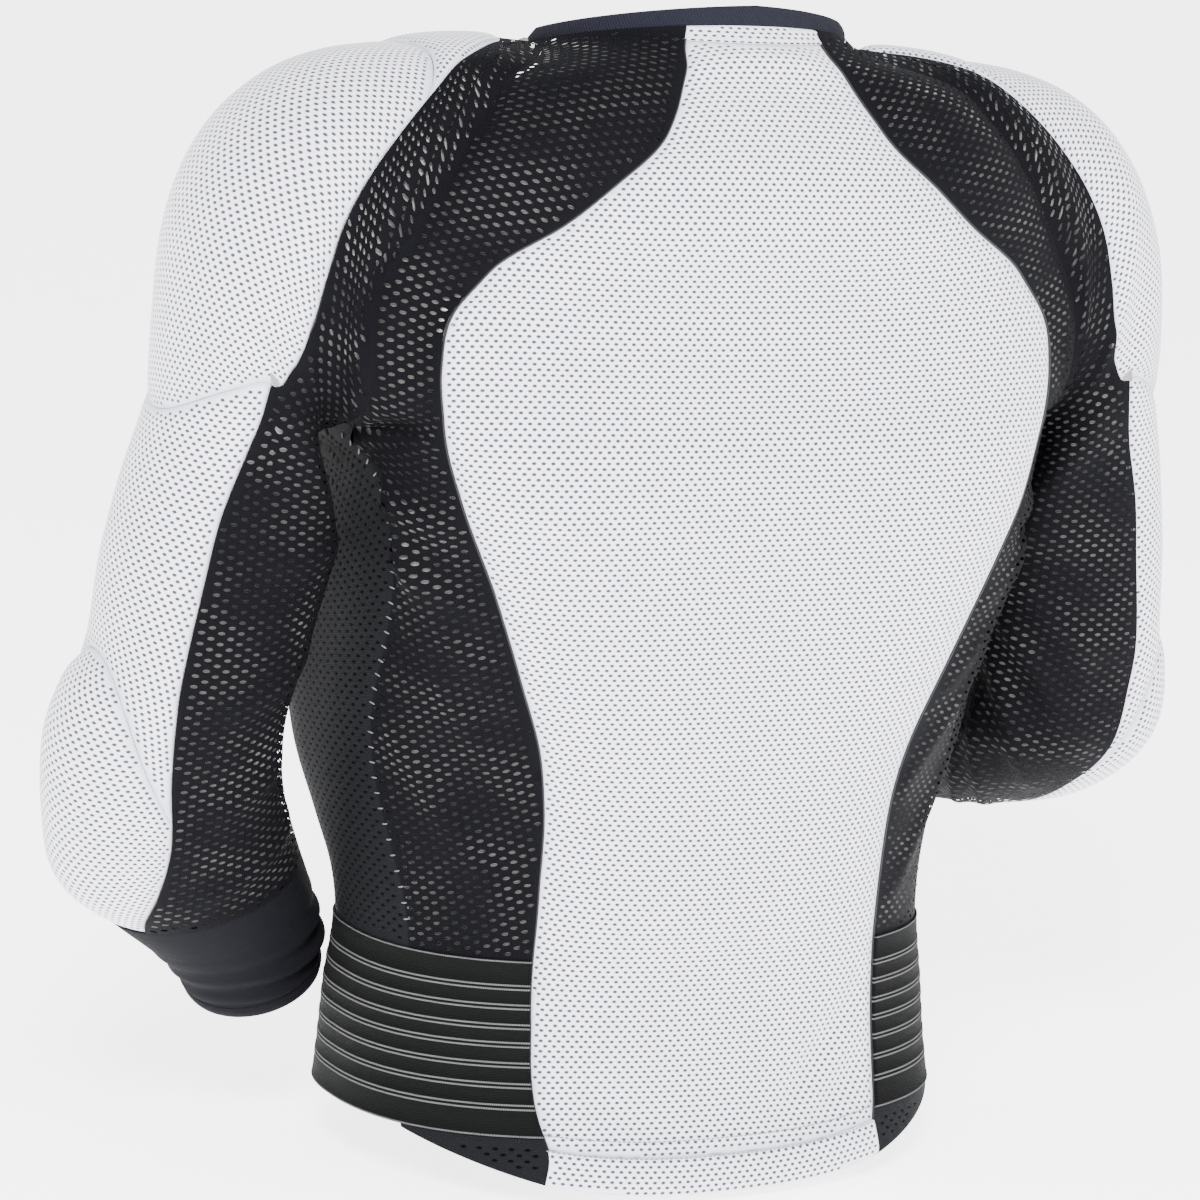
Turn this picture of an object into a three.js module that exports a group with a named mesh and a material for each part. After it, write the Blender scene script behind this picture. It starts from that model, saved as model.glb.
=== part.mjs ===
// A padded long-sleeved body armour jacket, worn form, in millimetres.
// +Z is up, the front faces -Y, the wearer's left is +X, and the origin is the middle of
// the back neck seam.
import * as THREE from "three";

// Body
const BACK_LENGTH = 640; // neck seam to the corner of the back hem
const CHEST_HALF = 248; // half width of the body behind the armholes
const BACK_DEPTH = 142; // body middle to the back
const FRONT_DEPTH = 122; // body middle to the front
const NECK_HALF = 94; // half width of the neck opening
const NECK_SIDE_DROP = 17; // back neck seam down to the side of the neck
const NECK_FRONT_DROP = 57; // side of the neck down to the front neckline
const ARMHOLE_HEIGHT = 208; // side of the neck down to the underarm
const ARMHOLE_BOW = 37; // how far the sleeve's first ring bows out
const BACK_PAD_HALF = 191; // widest half width of the back pad
const WAIST_UP = 122; // back hem's corner up to the belt's top
const BELT_HEIGHT = 97;
const HEM_HEIGHT = 19; // stitched strip under the back pad
const HEM_DIP = 8; // the back hem's middle hangs this much lower than its corners
const NECK_STRIP_HEIGHT = 7;
const COLLAR_HEIGHT = 11; // at the middle of the back
const COLLAR_SIDE = 0.7; // and this share of it at the sides
const COLLAR_INSET = 0.3; // collar inside the neckline
const COLLAR_LEAN = 0.35; // collar leans in by this share of its height
const PLACKET_HALF = 11; // half width of the front closure strip
const BELT_TAB_HALF = 42; // half width of the belt's front tab
const HEM_NET_TURN = 34; // degrees round the body under the belt
const HEM_NET_TAPER = 0.92; // share of its height that it loses on the way

// Sleeves
const SLEEVE_OUT = 110; // underarm to the outermost shoulder
const SLEEVE_DROP = 560; // side of the neck to the sleeve's end
const INNER_DROP = 335; // underarm to the sleeve's end
const SLEEVE_HALF_DEPTH = 80; // sleeve middle to its back at the armhole
const CUFF_HEIGHT = 9;

// Walls
const NET_WALL = 1.6;
const BELT_WALL = 3;
const RIB_WALL = 2.4;
const PAD_EDGE = 3; // pads are this thick at their seams
const BACK_PAD_FILL = 9; // and this much thicker in the middle
const BACK_PAD_CROWN = 5; // how far the middle stands out of the body's surface
const SLEEVE_PAD_FILL = 7;
const SLEEVE_PAD_CROWN = 2.5;
const SWELL_POWER = 4; // a higher power keeps a pad full nearer its borders
const PLACKET_RISE = 1; // front closure stands out of the front panels
const SEAM_GAP = 0.45; // each piece stops this short of its seam

// Mesh steps, down or along the piece
const ARMHOLE_STEPS = 10;
const SIDE_STEPS = 8;
const BELT_STEPS = 3;
const HEM_STEPS = 2;
const TOP_STEPS = 2;
const CAP_STEPS = 6;
const ARM_STEPS = 7;
const ELBOW_STEPS = 3;
const FOREARM_STEPS = 3;

// Mesh steps across the piece
const BACK_PAD_ACROSS = 12;
const BACK_NET_ACROSS = 6;
const FRONT_NET_ACROSS = 8;
const NECK_STRIP_ACROSS = 6;
const HEM_NET_ACROSS = 6;
const PLACKET_ACROSS = 2;
const BELT_ACROSS = 14;
const BELT_TAB_ACROSS = 4;
const SLEEVE_PAD_ACROSS = 8;
const TUBE_AROUND = 16;
const COLLAR_AROUND = 36;

// Body sections. down: share of BACK_LENGTH, half: share of CHEST_HALF,
// back: share of BACK_DEPTH, front: share of FRONT_DEPTH, middle: share of BACK_DEPTH
// that the section lies behind the origin, square: exponent of the section.
const BODY = [
  { down: -0.02, half: 0.35, back: 0.63, front: 0.47, middle: 0, square: 2.1 },
  { down: 0, half: 0.36, back: 0.637, front: 0.48, middle: 0, square: 2.1 },
  { down: 0.0266, half: 0.379, back: 0.75, front: 0.57, middle: 0, square: 2.1 },
  { down: 0.044, half: 0.665, back: 0.79, front: 0.65, middle: -0.02, square: 2.1 },
  { down: 0.077, half: 0.83, back: 0.89, front: 0.74, middle: -0.03, square: 2.2 },
  { down: 0.119, half: 0.91, back: 0.98, front: 0.82, middle: -0.035, square: 2.3 },
  { down: 0.165, half: 0.955, back: 1, front: 0.88, middle: -0.035, square: 2.5 },
  { down: 0.211, half: 0.985, back: 0.975, front: 0.93, middle: -0.035, square: 2.8 },
  { down: 0.258, half: 1, back: 0.99, front: 0.965, middle: -0.035, square: 3 },
  { down: 0.305, half: 0.96, back: 1.01, front: 0.985, middle: -0.035, square: 3.3 },
  { down: 0.352, half: 0.863, back: 1.055, front: 1, middle: -0.04, square: 3.8 },
  { down: 0.4, half: 0.83, back: 1.07, front: 1, middle: -0.05, square: 3.9 },
  { down: 0.46, half: 0.82, back: 1.065, front: 1, middle: -0.07, square: 3.5 },
  { down: 0.53, half: 0.815, back: 1.075, front: 0.98, middle: -0.12, square: 3 },
  { down: 0.6, half: 0.812, back: 1.09, front: 0.94, middle: -0.18, square: 2.6 },
  { down: 0.66, half: 0.79, back: 1.07, front: 0.88, middle: -0.2, square: 2.4 },
  { down: 0.72, half: 0.75, back: 0.99, front: 0.86, middle: -0.14, square: 2.3 },
  { down: 0.77, half: 0.72, back: 0.89, front: 0.87, middle: -0.06, square: 2.3 },
  { down: 0.81, half: 0.71, back: 0.82, front: 0.87, middle: -0.02, square: 2.4 },
  { down: 0.87, half: 0.73, back: 0.816, front: 0.88, middle: -0.01, square: 2.4 },
  { down: 0.93, half: 0.742, back: 0.86, front: 0.9, middle: 0, square: 2.4 },
  { down: 0.97, half: 0.75, back: 0.94, front: 0.92, middle: 0, square: 2.4 },
  { down: 1.03, half: 0.76, back: 1, front: 0.93, middle: 0, square: 2.4 },
];

// Back pad's edge. down: share of BACK_LENGTH, half: share of BACK_PAD_HALF.
const BACK_EDGE = [
  { down: -0.02, half: 0.205 },
  { down: 0, half: 0.209 },
  { down: 0.019, half: 0.232 },
  { down: 0.044, half: 0.27 },
  { down: 0.071, half: 0.32 },
  { down: 0.096, half: 0.38 },
  { down: 0.129, half: 0.516 },
  { down: 0.166, half: 0.672 },
  { down: 0.2, half: 0.848 },
  { down: 0.217, half: 0.901 },
  { down: 0.24, half: 0.964 },
  { down: 0.287, half: 1 },
  { down: 0.33, half: 0.991 },
  { down: 0.4, half: 0.93 },
  { down: 0.483, half: 0.81 },
  { down: 0.558, half: 0.706 },
  { down: 0.627, half: 0.617 },
  { down: 0.67, half: 0.588 },
  { down: 0.75, half: 0.575 },
  { down: 0.86, half: 0.576 },
  { down: 0.95, half: 0.565 },
  { down: 0.975, half: 0.546 },
  { down: 1, half: 0.56 },
];

// Side seam. down: share of BACK_LENGTH, turn: degrees behind the side of the body.
const SIDE_SEAM = [
  { down: 0.352, turn: 0 },
  { down: 0.38, turn: 11 },
  { down: 0.42, turn: 17 },
  { down: 0.62, turn: 21 },
  { down: 0.81, turn: 23 },
];

// Armhole seam. down: share of ARMHOLE_HEIGHT, out: share of the way from the side of the
// neck out to the underarm.
const ARMHOLE = [
  { down: 0, out: 0 },
  { down: 0.053, out: 0.31 },
  { down: 0.156, out: 0.52 },
  { down: 0.284, out: 0.69 },
  { down: 0.389, out: 0.805 },
  { down: 0.48, out: 0.89 },
  { down: 0.567, out: 0.99 },
  { down: 0.64, out: 1.044 },
  { down: 0.72, out: 1.067 },
  { down: 0.86, out: 1.05 },
  { down: 1, out: 1 },
];

// Sleeve rings, from the armhole to the elbow. outX and inX: ring's outer and inner point,
// share of SLEEVE_OUT outward of the underarm; outDown: share of SLEEVE_DROP below the side
// of the neck; inDown: share of INNER_DROP below the underarm; middle, back, front: share of
// SLEEVE_HALF_DEPTH; bend: degrees forward; swing: degrees inward; square, inner:
// exponents of the outer and inner half; bow: share of ARMHOLE_BOW; edge: degrees from the
// outer point back to the pads' edge.
const UPPER_RINGS = [
  { outX: -0.98, outDown: 0, inX: 0, inDown: 0, middle: -0.05, back: 1.12, front: 1.05,
    bend: 0, swing: 0, square: 3, inner: 3, bow: 1, edge: 0 },
  { outX: -0.673, outDown: -0.004, inX: 0.045, inDown: 0.009, middle: 0.03, back: 1.09, front: 1.02,
    bend: 0, swing: 0, square: 2.9, inner: 2.9, bow: 1, edge: 16.5 },
  { outX: -0.364, outDown: 0.004, inX: 0.073, inDown: 0.018, middle: 0.08, back: 1, front: 0.97,
    bend: 0, swing: 0, square: 2.7, inner: 2.7, bow: 0.92, edge: 70 },
  { outX: -0.018, outDown: 0.015, inX: 0.109, inDown: 0.027, middle: 0.08, back: 0.98, front: 0.92,
    bend: 0, swing: 0, square: 2.5, inner: 2.5, bow: 0.81, edge: 99 },
  { outX: 0.26, outDown: 0.035, inX: 0.125, inDown: 0.039, middle: 0.1, back: 0.95, front: 0.88,
    bend: 0, swing: 0, square: 2.4, inner: 2.5, bow: 0.65, edge: 104 },
  { outX: 0.51, outDown: 0.071, inX: 0.125, inDown: 0.054, middle: 0.12, back: 0.86, front: 0.84,
    bend: 0, swing: 0, square: 2.3, inner: 2.8, bow: 0.48, edge: 102.5 },
  { outX: 0.7, outDown: 0.121, inX: 0.115, inDown: 0.072, middle: 0.16, back: 0.78, front: 0.8,
    bend: 0, swing: 0, square: 2.2, inner: 3.2, bow: 0.32, edge: 96.5 },
  { outX: 0.825, outDown: 0.186, inX: 0.095, inDown: 0.096, middle: 0.21, back: 0.72, front: 0.77,
    bend: 0, swing: 0, square: 2.1, inner: 3.5, bow: 0.2, edge: 91 },
  { outX: 0.893, outDown: 0.275, inX: 0.06, inDown: 0.125, middle: 0.26, back: 0.63, front: 0.73,
    bend: 0, swing: 0, square: 2.1, inner: 3.5, bow: 0.1, edge: 84 },
  { outX: 0.93, outDown: 0.357, inX: 0.018, inDown: 0.164, middle: 0.25, back: 0.58, front: 0.7,
    bend: 0, swing: 0, square: 2.2, inner: 3.2, bow: 0, edge: 75 },
  { outX: 1.02, outDown: 0.436, inX: -0.03, inDown: 0.218, middle: 0.17, back: 0.62, front: 0.67,
    bend: 0, swing: 0, square: 2.2, inner: 2.7, bow: 0, edge: 69 },
  { outX: 1.09, outDown: 0.507, inX: 0, inDown: 0.301, middle: 0.12, back: 0.62, front: 0.65,
    bend: 2, swing: 0, square: 2.2, inner: 2.3, bow: 0, edge: 69 },
  { outX: 1.14, outDown: 0.59, inX: 0.07, inDown: 0.409, middle: 0.08, back: 0.61, front: 0.66,
    bend: 5, swing: 0, square: 2.2, inner: 2.1, bow: 0, edge: 68 },
  { outX: 1.25, outDown: 0.64, inX: 0.11, inDown: 0.493, middle: 0, back: 0.6, front: 0.68,
    bend: 8, swing: 0, square: 2.1, inner: 2.1, bow: 0, edge: 75.5 },
];

// Elbow and forearm rings of each sleeve, with the same columns.
const LEFT_FOREARM = [
  { outX: 1.3, outDown: 0.702, inX: 0.08, inDown: 0.576, middle: -0.12, back: 0.58, front: 0.68,
    bend: 12, swing: 0, square: 2.1, inner: 2.1, bow: 0, edge: 80 },
  { outX: 1.24, outDown: 0.786, inX: 0.009, inDown: 0.642, middle: -0.28, back: 0.58, front: 0.66,
    bend: 16, swing: 0, square: 2.1, inner: 2.1, bow: 0, edge: 78 },
  { outX: 1.127, outDown: 0.845, inX: -0.082, inDown: 0.696, middle: -0.44, back: 0.57, front: 0.62,
    bend: 19, swing: 0, square: 2.1, inner: 2.1, bow: 0, edge: 66 },
  { outX: 0.855, outDown: 0.889, inX: -0.182, inDown: 0.755, middle: -0.58, back: 0.55, front: 0.58,
    bend: 21, swing: 0, square: 2, inner: 2, bow: 0, edge: 38 },
  { outX: 0.582, outDown: 0.929, inX: -0.291, inDown: 0.821, middle: -0.72, back: 0.52, front: 0.54,
    bend: 22, swing: 0, square: 2, inner: 2, bow: 0, edge: 30 },
  { outX: 0.382, outDown: 0.964, inX: -0.382, inDown: 0.896, middle: -0.85, back: 0.49, front: 0.5,
    bend: 22, swing: 0, square: 2, inner: 2, bow: 0, edge: 30 },
  { outX: 0.236, outDown: 1, inX: -0.436, inDown: 0.964, middle: -0.97, back: 0.46, front: 0.47,
    bend: 22, swing: 0, square: 2, inner: 2, bow: 0, edge: 30 },
];
const RIGHT_FOREARM = [
  { outX: 1.3, outDown: 0.7, inX: 0.091, inDown: 0.576, middle: -0.12, back: 0.6, front: 0.68,
    bend: 18, swing: 2, square: 2.1, inner: 2.1, bow: 0, edge: 80 },
  { outX: 1.22, outDown: 0.735, inX: 0.055, inDown: 0.6, middle: -0.36, back: 0.6, front: 0.66,
    bend: 38, swing: 10, square: 2.1, inner: 2.1, bow: 0, edge: 84 },
  { outX: 1.08, outDown: 0.75, inX: 0.018, inDown: 0.622, middle: -0.68, back: 0.58, front: 0.62,
    bend: 60, swing: 20, square: 2.1, inner: 2.1, bow: 0, edge: 78 },
  { outX: 0.927, outDown: 0.76, inX: -0.055, inDown: 0.636, middle: -1.06, back: 0.55, front: 0.58,
    bend: 74, swing: 28, square: 2, inner: 2, bow: 0, edge: 60 },
  { outX: 0.709, outDown: 0.766, inX: -0.145, inDown: 0.645, middle: -1.44, back: 0.52, front: 0.54,
    bend: 78, swing: 30, square: 2, inner: 2, bow: 0, edge: 30 },
  { outX: 0.527, outDown: 0.771, inX: -0.255, inDown: 0.654, middle: -1.79, back: 0.49, front: 0.5,
    bend: 80, swing: 30, square: 2, inner: 2, bow: 0, edge: 30 },
  { outX: 0.364, outDown: 0.777, inX: -0.364, inDown: 0.663, middle: -2.11, back: 0.46, front: 0.47,
    bend: 80, swing: 30, square: 2, inner: 2, bow: 0, edge: 30 },
];

// Cross seams of the sleeve, by ring number at the outer line and at the pads' edges.
const PAD_START = { outer: 0.52, edge: 0.6 };
const TOP_SEAM = { outer: 1.95, edge: 1.65 };
const CAP_SEAM = { outer: 9, edge: 7.15 };
const ELBOW_SEAM = { outer: 12.1, edge: 14.6 };
const PAD_END = { outer: 17, edge: 17 };
const SLEEVE_END = 20;
const SEAM_REACH = 2; // rings over which the sleeve is drawn in to the armhole seam
const FRONT_EDGE_SHARE = 0.92; // front edge of the sleeve pads against their back edge
const NET_TOP_ROWS = [0, 0.4, 0.65]; // shares of PAD_START.edge, rows of net over the top

// Upper panels leave the neckline's shape for the body's between these shares of the way
// down to the underarm.
const ONTO_BODY = { from: 0.15, to: 0.55 };

// Small steps that the surface normals are found with
const TURN_STEP = 0.01; // in radians
const HEIGHT_STEP = 1; // in millimetres
const RING_STEP = 0.04; // in rings
const ROUND_STEP = 0.02; // in radians
const SHARE_STEP = 0.02; // in shares of a panel

const { cos, sin, abs, sign, max, min, acos, asin } = Math;
const RIGHT_ANGLE = Math.PI / 2;
const NECK_SIDE_Z = -NECK_SIDE_DROP;
const NECK_FRONT_Z = NECK_SIDE_Z - NECK_FRONT_DROP;
const UNDERARM_Z = NECK_SIDE_Z - ARMHOLE_HEIGHT;
const WAIST_Z = WAIST_UP - BACK_LENGTH;
const BELT_BOTTOM_Z = WAIST_Z - BELT_HEIGHT;
const PAD_BOTTOM_Z = HEM_HEIGHT - BACK_LENGTH;
const radians = THREE.MathUtils.degToRad;
const { lerp: mix, clamp, smoothstep } = THREE.MathUtils;

// Smooth value of a column between a table's rows.
function smoothAt(knots, values, at) {
  const last = knots.length - 1;
  const x = clamp(at, knots[0], knots[last]);
  let row = 0;
  while (row < last - 1 && knots[row + 1] < x) row += 1;
  const step = (k) => knots[k + 1] - knots[k];
  const slope = (k) => (values[k + 1] - values[k]) / step(k);
  const tangent = (k) => {
    if (k === 0) return slope(0);
    if (k === last) return slope(last - 1);
    return (slope(k - 1) * step(k) + slope(k) * step(k - 1)) / (step(k - 1) + step(k));
  };
  const width = step(row);
  const t = (x - knots[row]) / width;
  const rise = t * t * (3 - 2 * t);
  const entry = t * (1 - t) * (1 - t) * width;
  const exit = t * t * (t - 1) * width;
  return values[row] * (1 - rise) + values[row + 1] * rise
    + tangent(row) * entry + tangent(row + 1) * exit;
}

function columnOf(table, name, knot) {
  const knots = table.map((row, index) => (knot ? row[knot] : index));
  const values = table.map((row) => row[name]);
  return (at) => smoothAt(knots, values, at);
}

const bodyColumn = {};
for (const name of ["half", "back", "front", "middle", "square"]) {
  bodyColumn[name] = columnOf(BODY, name, "down");
}
const edgeHalf = columnOf(BACK_EDGE, "half", "down");
const seamTurn = columnOf(SIDE_SEAM, "turn", "down");
const armholeOut = columnOf(ARMHOLE, "out", "down");

// Half width, depths, middle and squareness of the body's section at a height.
function bodySection(z) {
  const down = -z / BACK_LENGTH;
  return {
    half: CHEST_HALF * bodyColumn.half(down),
    back: BACK_DEPTH * bodyColumn.back(down),
    front: FRONT_DEPTH * bodyColumn.front(down),
    middle: BACK_DEPTH * bodyColumn.middle(down),
    square: bodyColumn.square(down),
  };
}

// Point of the body's surface; turn 0 is the left side, 90 degrees the middle of the back.
function bodyPoint(turn, z) {
  const section = bodySection(z);
  const power = 2 / section.square;
  const depth = sin(turn) > 0 ? section.back : section.front;
  const x = section.half * sign(cos(turn)) * abs(cos(turn)) ** power;
  const y = section.middle + depth * sign(sin(turn)) * abs(sin(turn)) ** power;
  return new THREE.Vector3(x, y, z);
}

// Place moved on its own level to the body's surface.
function ontoBody(place) {
  const { half, back, front, middle, square } = bodySection(place.z);
  const depth = place.y > middle ? back : front;
  const across = abs(place.x / half) ** square;
  const behind = abs((place.y - middle) / depth) ** square;
  const scale = (across + behind) ** (-1 / square);
  return new THREE.Vector3(place.x * scale, mix(middle, place.y, scale), place.z);
}

// Turn of the back half's point at a given x.
function turnAt(x, z) {
  const section = bodySection(z);
  const share = min(abs(x) / section.half, 1) ** (section.square / 2);
  return acos(sign(x) * share);
}

function normalOf(surface, u, v, du, dv) {
  const alongU = surface(u + du, v).sub(surface(u - du, v));
  const alongV = surface(u, v + dv).sub(surface(u, v - dv));
  return alongU.cross(alongV).normalize();
}

const bodyNormal = (turn, z) => normalOf(bodyPoint, turn, z, TURN_STEP, HEIGHT_STEP);

// Armhole seam on the body, as a turn and height. round 0 is the side of the neck,
// half a turn the underarm; the back half runs up to half a turn.
function armholeSeam(round) {
  const share = (1 - cos(round)) / 2;
  const z = mix(NECK_SIDE_Z, UNDERARM_Z, share);
  const x = mix(NECK_HALF, bodySection(UNDERARM_Z).half, armholeOut(share));
  const turn = turnAt(x, z);
  return { turn: sin(round) < 0 ? -turn : turn, z };
}

// Neckline. round 0 is the side of the neck, a right angle the middle of the back, and a
// negative right angle the middle of the front.
function neckline(round) {
  const z = NECK_SIDE_Z + (round < 0 ? NECK_FRONT_DROP : NECK_SIDE_DROP) * sin(round);
  const end = round < 0 ? bodyPoint(-RIGHT_ANGLE, NECK_FRONT_Z) : bodyPoint(RIGHT_ANGLE, 0);
  return new THREE.Vector3(NECK_HALF * cos(round), end.y * abs(sin(round)), z);
}

const backEdge = (z) => ({ turn: turnAt(BACK_PAD_HALF * edgeHalf(-z / BACK_LENGTH), z), z });
const sideSeam = (z) => ({ turn: radians(seamTurn(-z / BACK_LENGTH)), z });

const RING_COLUMNS = Object.keys(UPPER_RINGS[0]);

function ringColumns(forearm) {
  const table = UPPER_RINGS.concat(forearm);
  return Object.fromEntries(RING_COLUMNS.map((name) => [name, columnOf(table, name)]));
}

// Point of a left-hand sleeve's rings, before it is drawn in to the armhole seam.
function ringPoint(columns, at, round) {
  const underarm = bodySection(UNDERARM_Z).half;
  const outer = new THREE.Vector3(
    underarm + SLEEVE_OUT * columns.outX(at), 0, NECK_SIDE_Z - SLEEVE_DROP * columns.outDown(at));
  const inner = new THREE.Vector3(
    underarm + SLEEVE_OUT * columns.inX(at), 0, UNDERARM_Z - INNER_DROP * columns.inDown(at));
  const half = outer.distanceTo(inner) / 2;
  const middle = outer.clone().add(inner).multiplyScalar(0.5);
  middle.y = SLEEVE_HALF_DEPTH * columns.middle(at);
  const outward = outer.sub(inner).normalize();
  const down = new THREE.Vector3(outward.z, 0, -outward.x);
  const back = new THREE.Vector3(0, 1, 0);
  const bend = radians(columns.bend(at));
  const swing = radians(columns.swing(at));
  const bentDown = down.clone().multiplyScalar(cos(bend)).addScaledVector(back, -sin(bend));
  const bentBack = back.clone().multiplyScalar(cos(bend)).addScaledVector(down, sin(bend));
  const swungOut = outward.clone().multiplyScalar(cos(swing)).addScaledVector(bentDown, sin(swing));
  const along = bentDown.clone().multiplyScalar(cos(swing)).addScaledVector(outward, -sin(swing));
  const power = 2 / (cos(round) > 0 ? columns.square(at) : columns.inner(at));
  const across = sign(cos(round)) * abs(cos(round)) ** power;
  const depth = SLEEVE_HALF_DEPTH * (sin(round) > 0 ? columns.back(at) : columns.front(at));
  const behind = depth * sign(sin(round)) * abs(sin(round)) ** power;
  const bow = ARMHOLE_BOW * columns.bow(at) * (1 - across * across);
  return middle
    .addScaledVector(swungOut, half * across)
    .addScaledVector(bentBack, behind)
    .addScaledVector(along, bow);
}

function sleeveSurface(forearm) {
  const columns = ringColumns(forearm);
  const point = (at, round) => {
    const place = ringPoint(columns, at, round);
    if (at >= SEAM_REACH) return place;
    const seam = armholeSeam(round);
    const miss = bodyPoint(seam.turn, seam.z).sub(ringPoint(columns, 0, round));
    const share = max(at, 0) / SEAM_REACH;
    return place.addScaledVector(miss, (1 - share) ** 2 * (1 + 2 * share));
  };
  const inside = (at) => clamp(at, RING_STEP, SLEEVE_END - RING_STEP);
  const normal = (at, round) => normalOf(point, inside(at), round, RING_STEP, ROUND_STEP);
  const edge = (at) => radians(at < PAD_START.edge ? 0 : columns.edge(at));
  return { point, normal, edge };
}

// Common direction through the wall at the armhole seam, for the body and the sleeve.
function seamNormal(surface, round) {
  const seam = armholeSeam(round);
  const fromBody = bodyNormal(seam.turn, seam.z);
  const fromSleeve = surface.normal(0, round);
  if (cos(round) > 0 && fromSleeve.dot(fromBody) < 0) fromSleeve.negate();
  return fromBody.add(fromSleeve).normalize();
}

const steps = (from, to, count) =>
  Array.from({ length: count + 1 }, (_, index) => mix(from, to, index / count));

// Moves a grid's borders in by the seam gap, where the border has a neighbour.
function drawnIn(grid, closed) {
  const rows = grid.length - 1;
  const columns = grid[0].length - 1;
  return grid.map((line, i) => line.map((place, j) => {
    const moved = place.clone();
    const pull = (other) => moved.addScaledVector(other.clone().sub(place).normalize(), SEAM_GAP);
    if (i === 0) pull(grid[1][j]);
    if (i === rows) pull(grid[rows - 1][j]);
    if (j === 0 && !closed) pull(grid[i][1]);
    if (j === columns && !closed) pull(grid[i][columns - 1]);
    return moved;
  }));
}

// Closed solid between an outer and an inner grid; closed joins the last column to the first.
// Both faces are split along the outer face's shorter diagonals.
function wallBetween(outer, inner, closed = false) {
  const rows = outer.length;
  const columns = outer[0].length;
  const places = [...outer.flat(), ...inner.flat()];
  const faces = [];
  const at = (side, i, j) => side * rows * columns + i * columns + (j % columns);
  const quad = (a, b, c, d) => faces.push(a, b, c, a, c, d);
  const length = (a, b) => places[a].distanceTo(places[b]);
  const lastColumn = closed ? columns : columns - 1;
  for (let i = 0; i < rows - 1; i += 1) {
    for (let j = 0; j < lastColumn; j += 1) {
      const corners = (side) => [
        at(side, i, j), at(side, i + 1, j), at(side, i + 1, j + 1), at(side, i, j + 1)];
      const [a, b, c, d] = corners(0);
      const [e, f, g, h] = corners(1);
      if (length(a, c) < length(b, d)) {
        quad(a, b, c, d);
        quad(e, h, g, f);
      } else {
        quad(b, c, d, a);
        quad(h, g, f, e);
      }
    }
    if (!closed) {
      quad(at(0, i, 0), at(1, i, 0), at(1, i + 1, 0), at(0, i + 1, 0));
      const end = columns - 1;
      quad(at(0, i, end), at(0, i + 1, end), at(1, i + 1, end), at(1, i, end));
    }
  }
  for (let j = 0; j < lastColumn; j += 1) {
    quad(at(0, 0, j), at(0, 0, j + 1), at(1, 0, j + 1), at(1, 0, j));
    const end = rows - 1;
    quad(at(0, end, j), at(1, end, j), at(1, end, j + 1), at(0, end, j + 1));
  }
  return facingOut(places, faces);
}

function facingOut(places, faces) {
  let volume = 0;
  for (let k = 0; k < faces.length; k += 3) {
    const [a, b, c] = [places[faces[k]], places[faces[k + 1]], places[faces[k + 2]]];
    volume += a.dot(b.clone().cross(c));
  }
  if (volume < 0) faces.reverse();
  const geometry = new THREE.BufferGeometry();
  geometry.setAttribute(
    "position", new THREE.Float32BufferAttribute(places.flatMap((p) => [p.x, p.y, p.z]), 3));
  geometry.setIndex(faces);
  geometry.computeVertexNormals();
  return geometry;
}

// 1 in the middle of a pad and 0 at its borders, for shares across and along it.
function padSwell(across, along) {
  const rise = (share) => 1 - abs(2 * share - 1) ** SWELL_POWER;
  return rise(across) * rise(along);
}

// Smooth patch between four borders, each a function of a share that gives a point.
function patch(top, bottom, first, last) {
  const blend = (a, b, share) => a.clone().lerp(b, share);
  return (across, along) => {
    const sides = blend(first(along), last(along), across);
    const ends = blend(top(across), bottom(across), along);
    const upper = blend(top(0), top(1), across);
    const lower = blend(bottom(0), bottom(1), across);
    return sides.add(ends).sub(blend(upper, lower, along));
  };
}

// Normal that points away from the middle of the body.
function patchNormal(surface, u, v) {
  const normal = normalOf(surface, u, v, SHARE_STEP, SHARE_STEP);
  const outward = surface(u, v).sub(new THREE.Vector3(0, 0, UNDERARM_Z));
  return normal.dot(outward) < 0 ? normal.negate() : normal;
}

// Solid on the body over a grid of places with a point and a normal each. depthAt gives how
// far the outer and the inner face lie from the place.
function bodyPanel({ placeAt, across, along, depthAt }) {
  const places = along.map((v, i) => across.map((u, j) => placeAt(u, v, i, j)));
  const face = (side) => places.map((line, i) => line.map(({ point, normal }, j) =>
    point.clone().addScaledVector(normal, side(depthAt(across[j], along[i])))));
  const outer = face((depth) => depth.out);
  const inner = face((depth) => -depth.in);
  return drawnInWall(outer, inner);
}

// Wall whose two faces are drawn in alike at their borders.
function drawnInWall(outer, inner, closed = false) {
  const outerIn = drawnIn(outer, closed);
  const innerIn = inner.map((line, i) => line.map((point, j) =>
    point.clone().add(outerIn[i][j]).sub(outer[i][j])));
  return wallBetween(outerIn, innerIn, closed);
}

const onBody = ({ turn, z }) => ({ point: bodyPoint(turn, z), normal: bodyNormal(turn, z) });

const netDepth = () => ({ out: 0, in: NET_WALL });

// Rows that panels share: the armhole's steps, then the side seam's.
const ROW_COUNT = ARMHOLE_STEPS + SIDE_STEPS;
const ROWS = steps(0, 1, ROW_COUNT);
const rowRound = (row) => (Math.PI * row) / ARMHOLE_STEPS;

// Where the closure strip and the back pad's edge meet the neckline
const PLACKET_ROUND = -acos(PLACKET_HALF / NECK_HALF);
const PLACKET_TOP_Z = neckline(PLACKET_ROUND).z;
const EDGE_ROUND = acos((BACK_PAD_HALF * edgeHalf(0)) / NECK_HALF);
const EDGE_TOP_Z = neckline(EDGE_ROUND).z;

// Height of the back pad's edge at a row, from the neckline to the waist.
function edgeHeight(row, startZ) {
  if (row <= ARMHOLE_STEPS) return mix(startZ, UNDERARM_Z, row / ARMHOLE_STEPS);
  return mix(UNDERARM_Z, WAIST_Z, (row - ARMHOLE_STEPS) / SIDE_STEPS);
}

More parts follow.
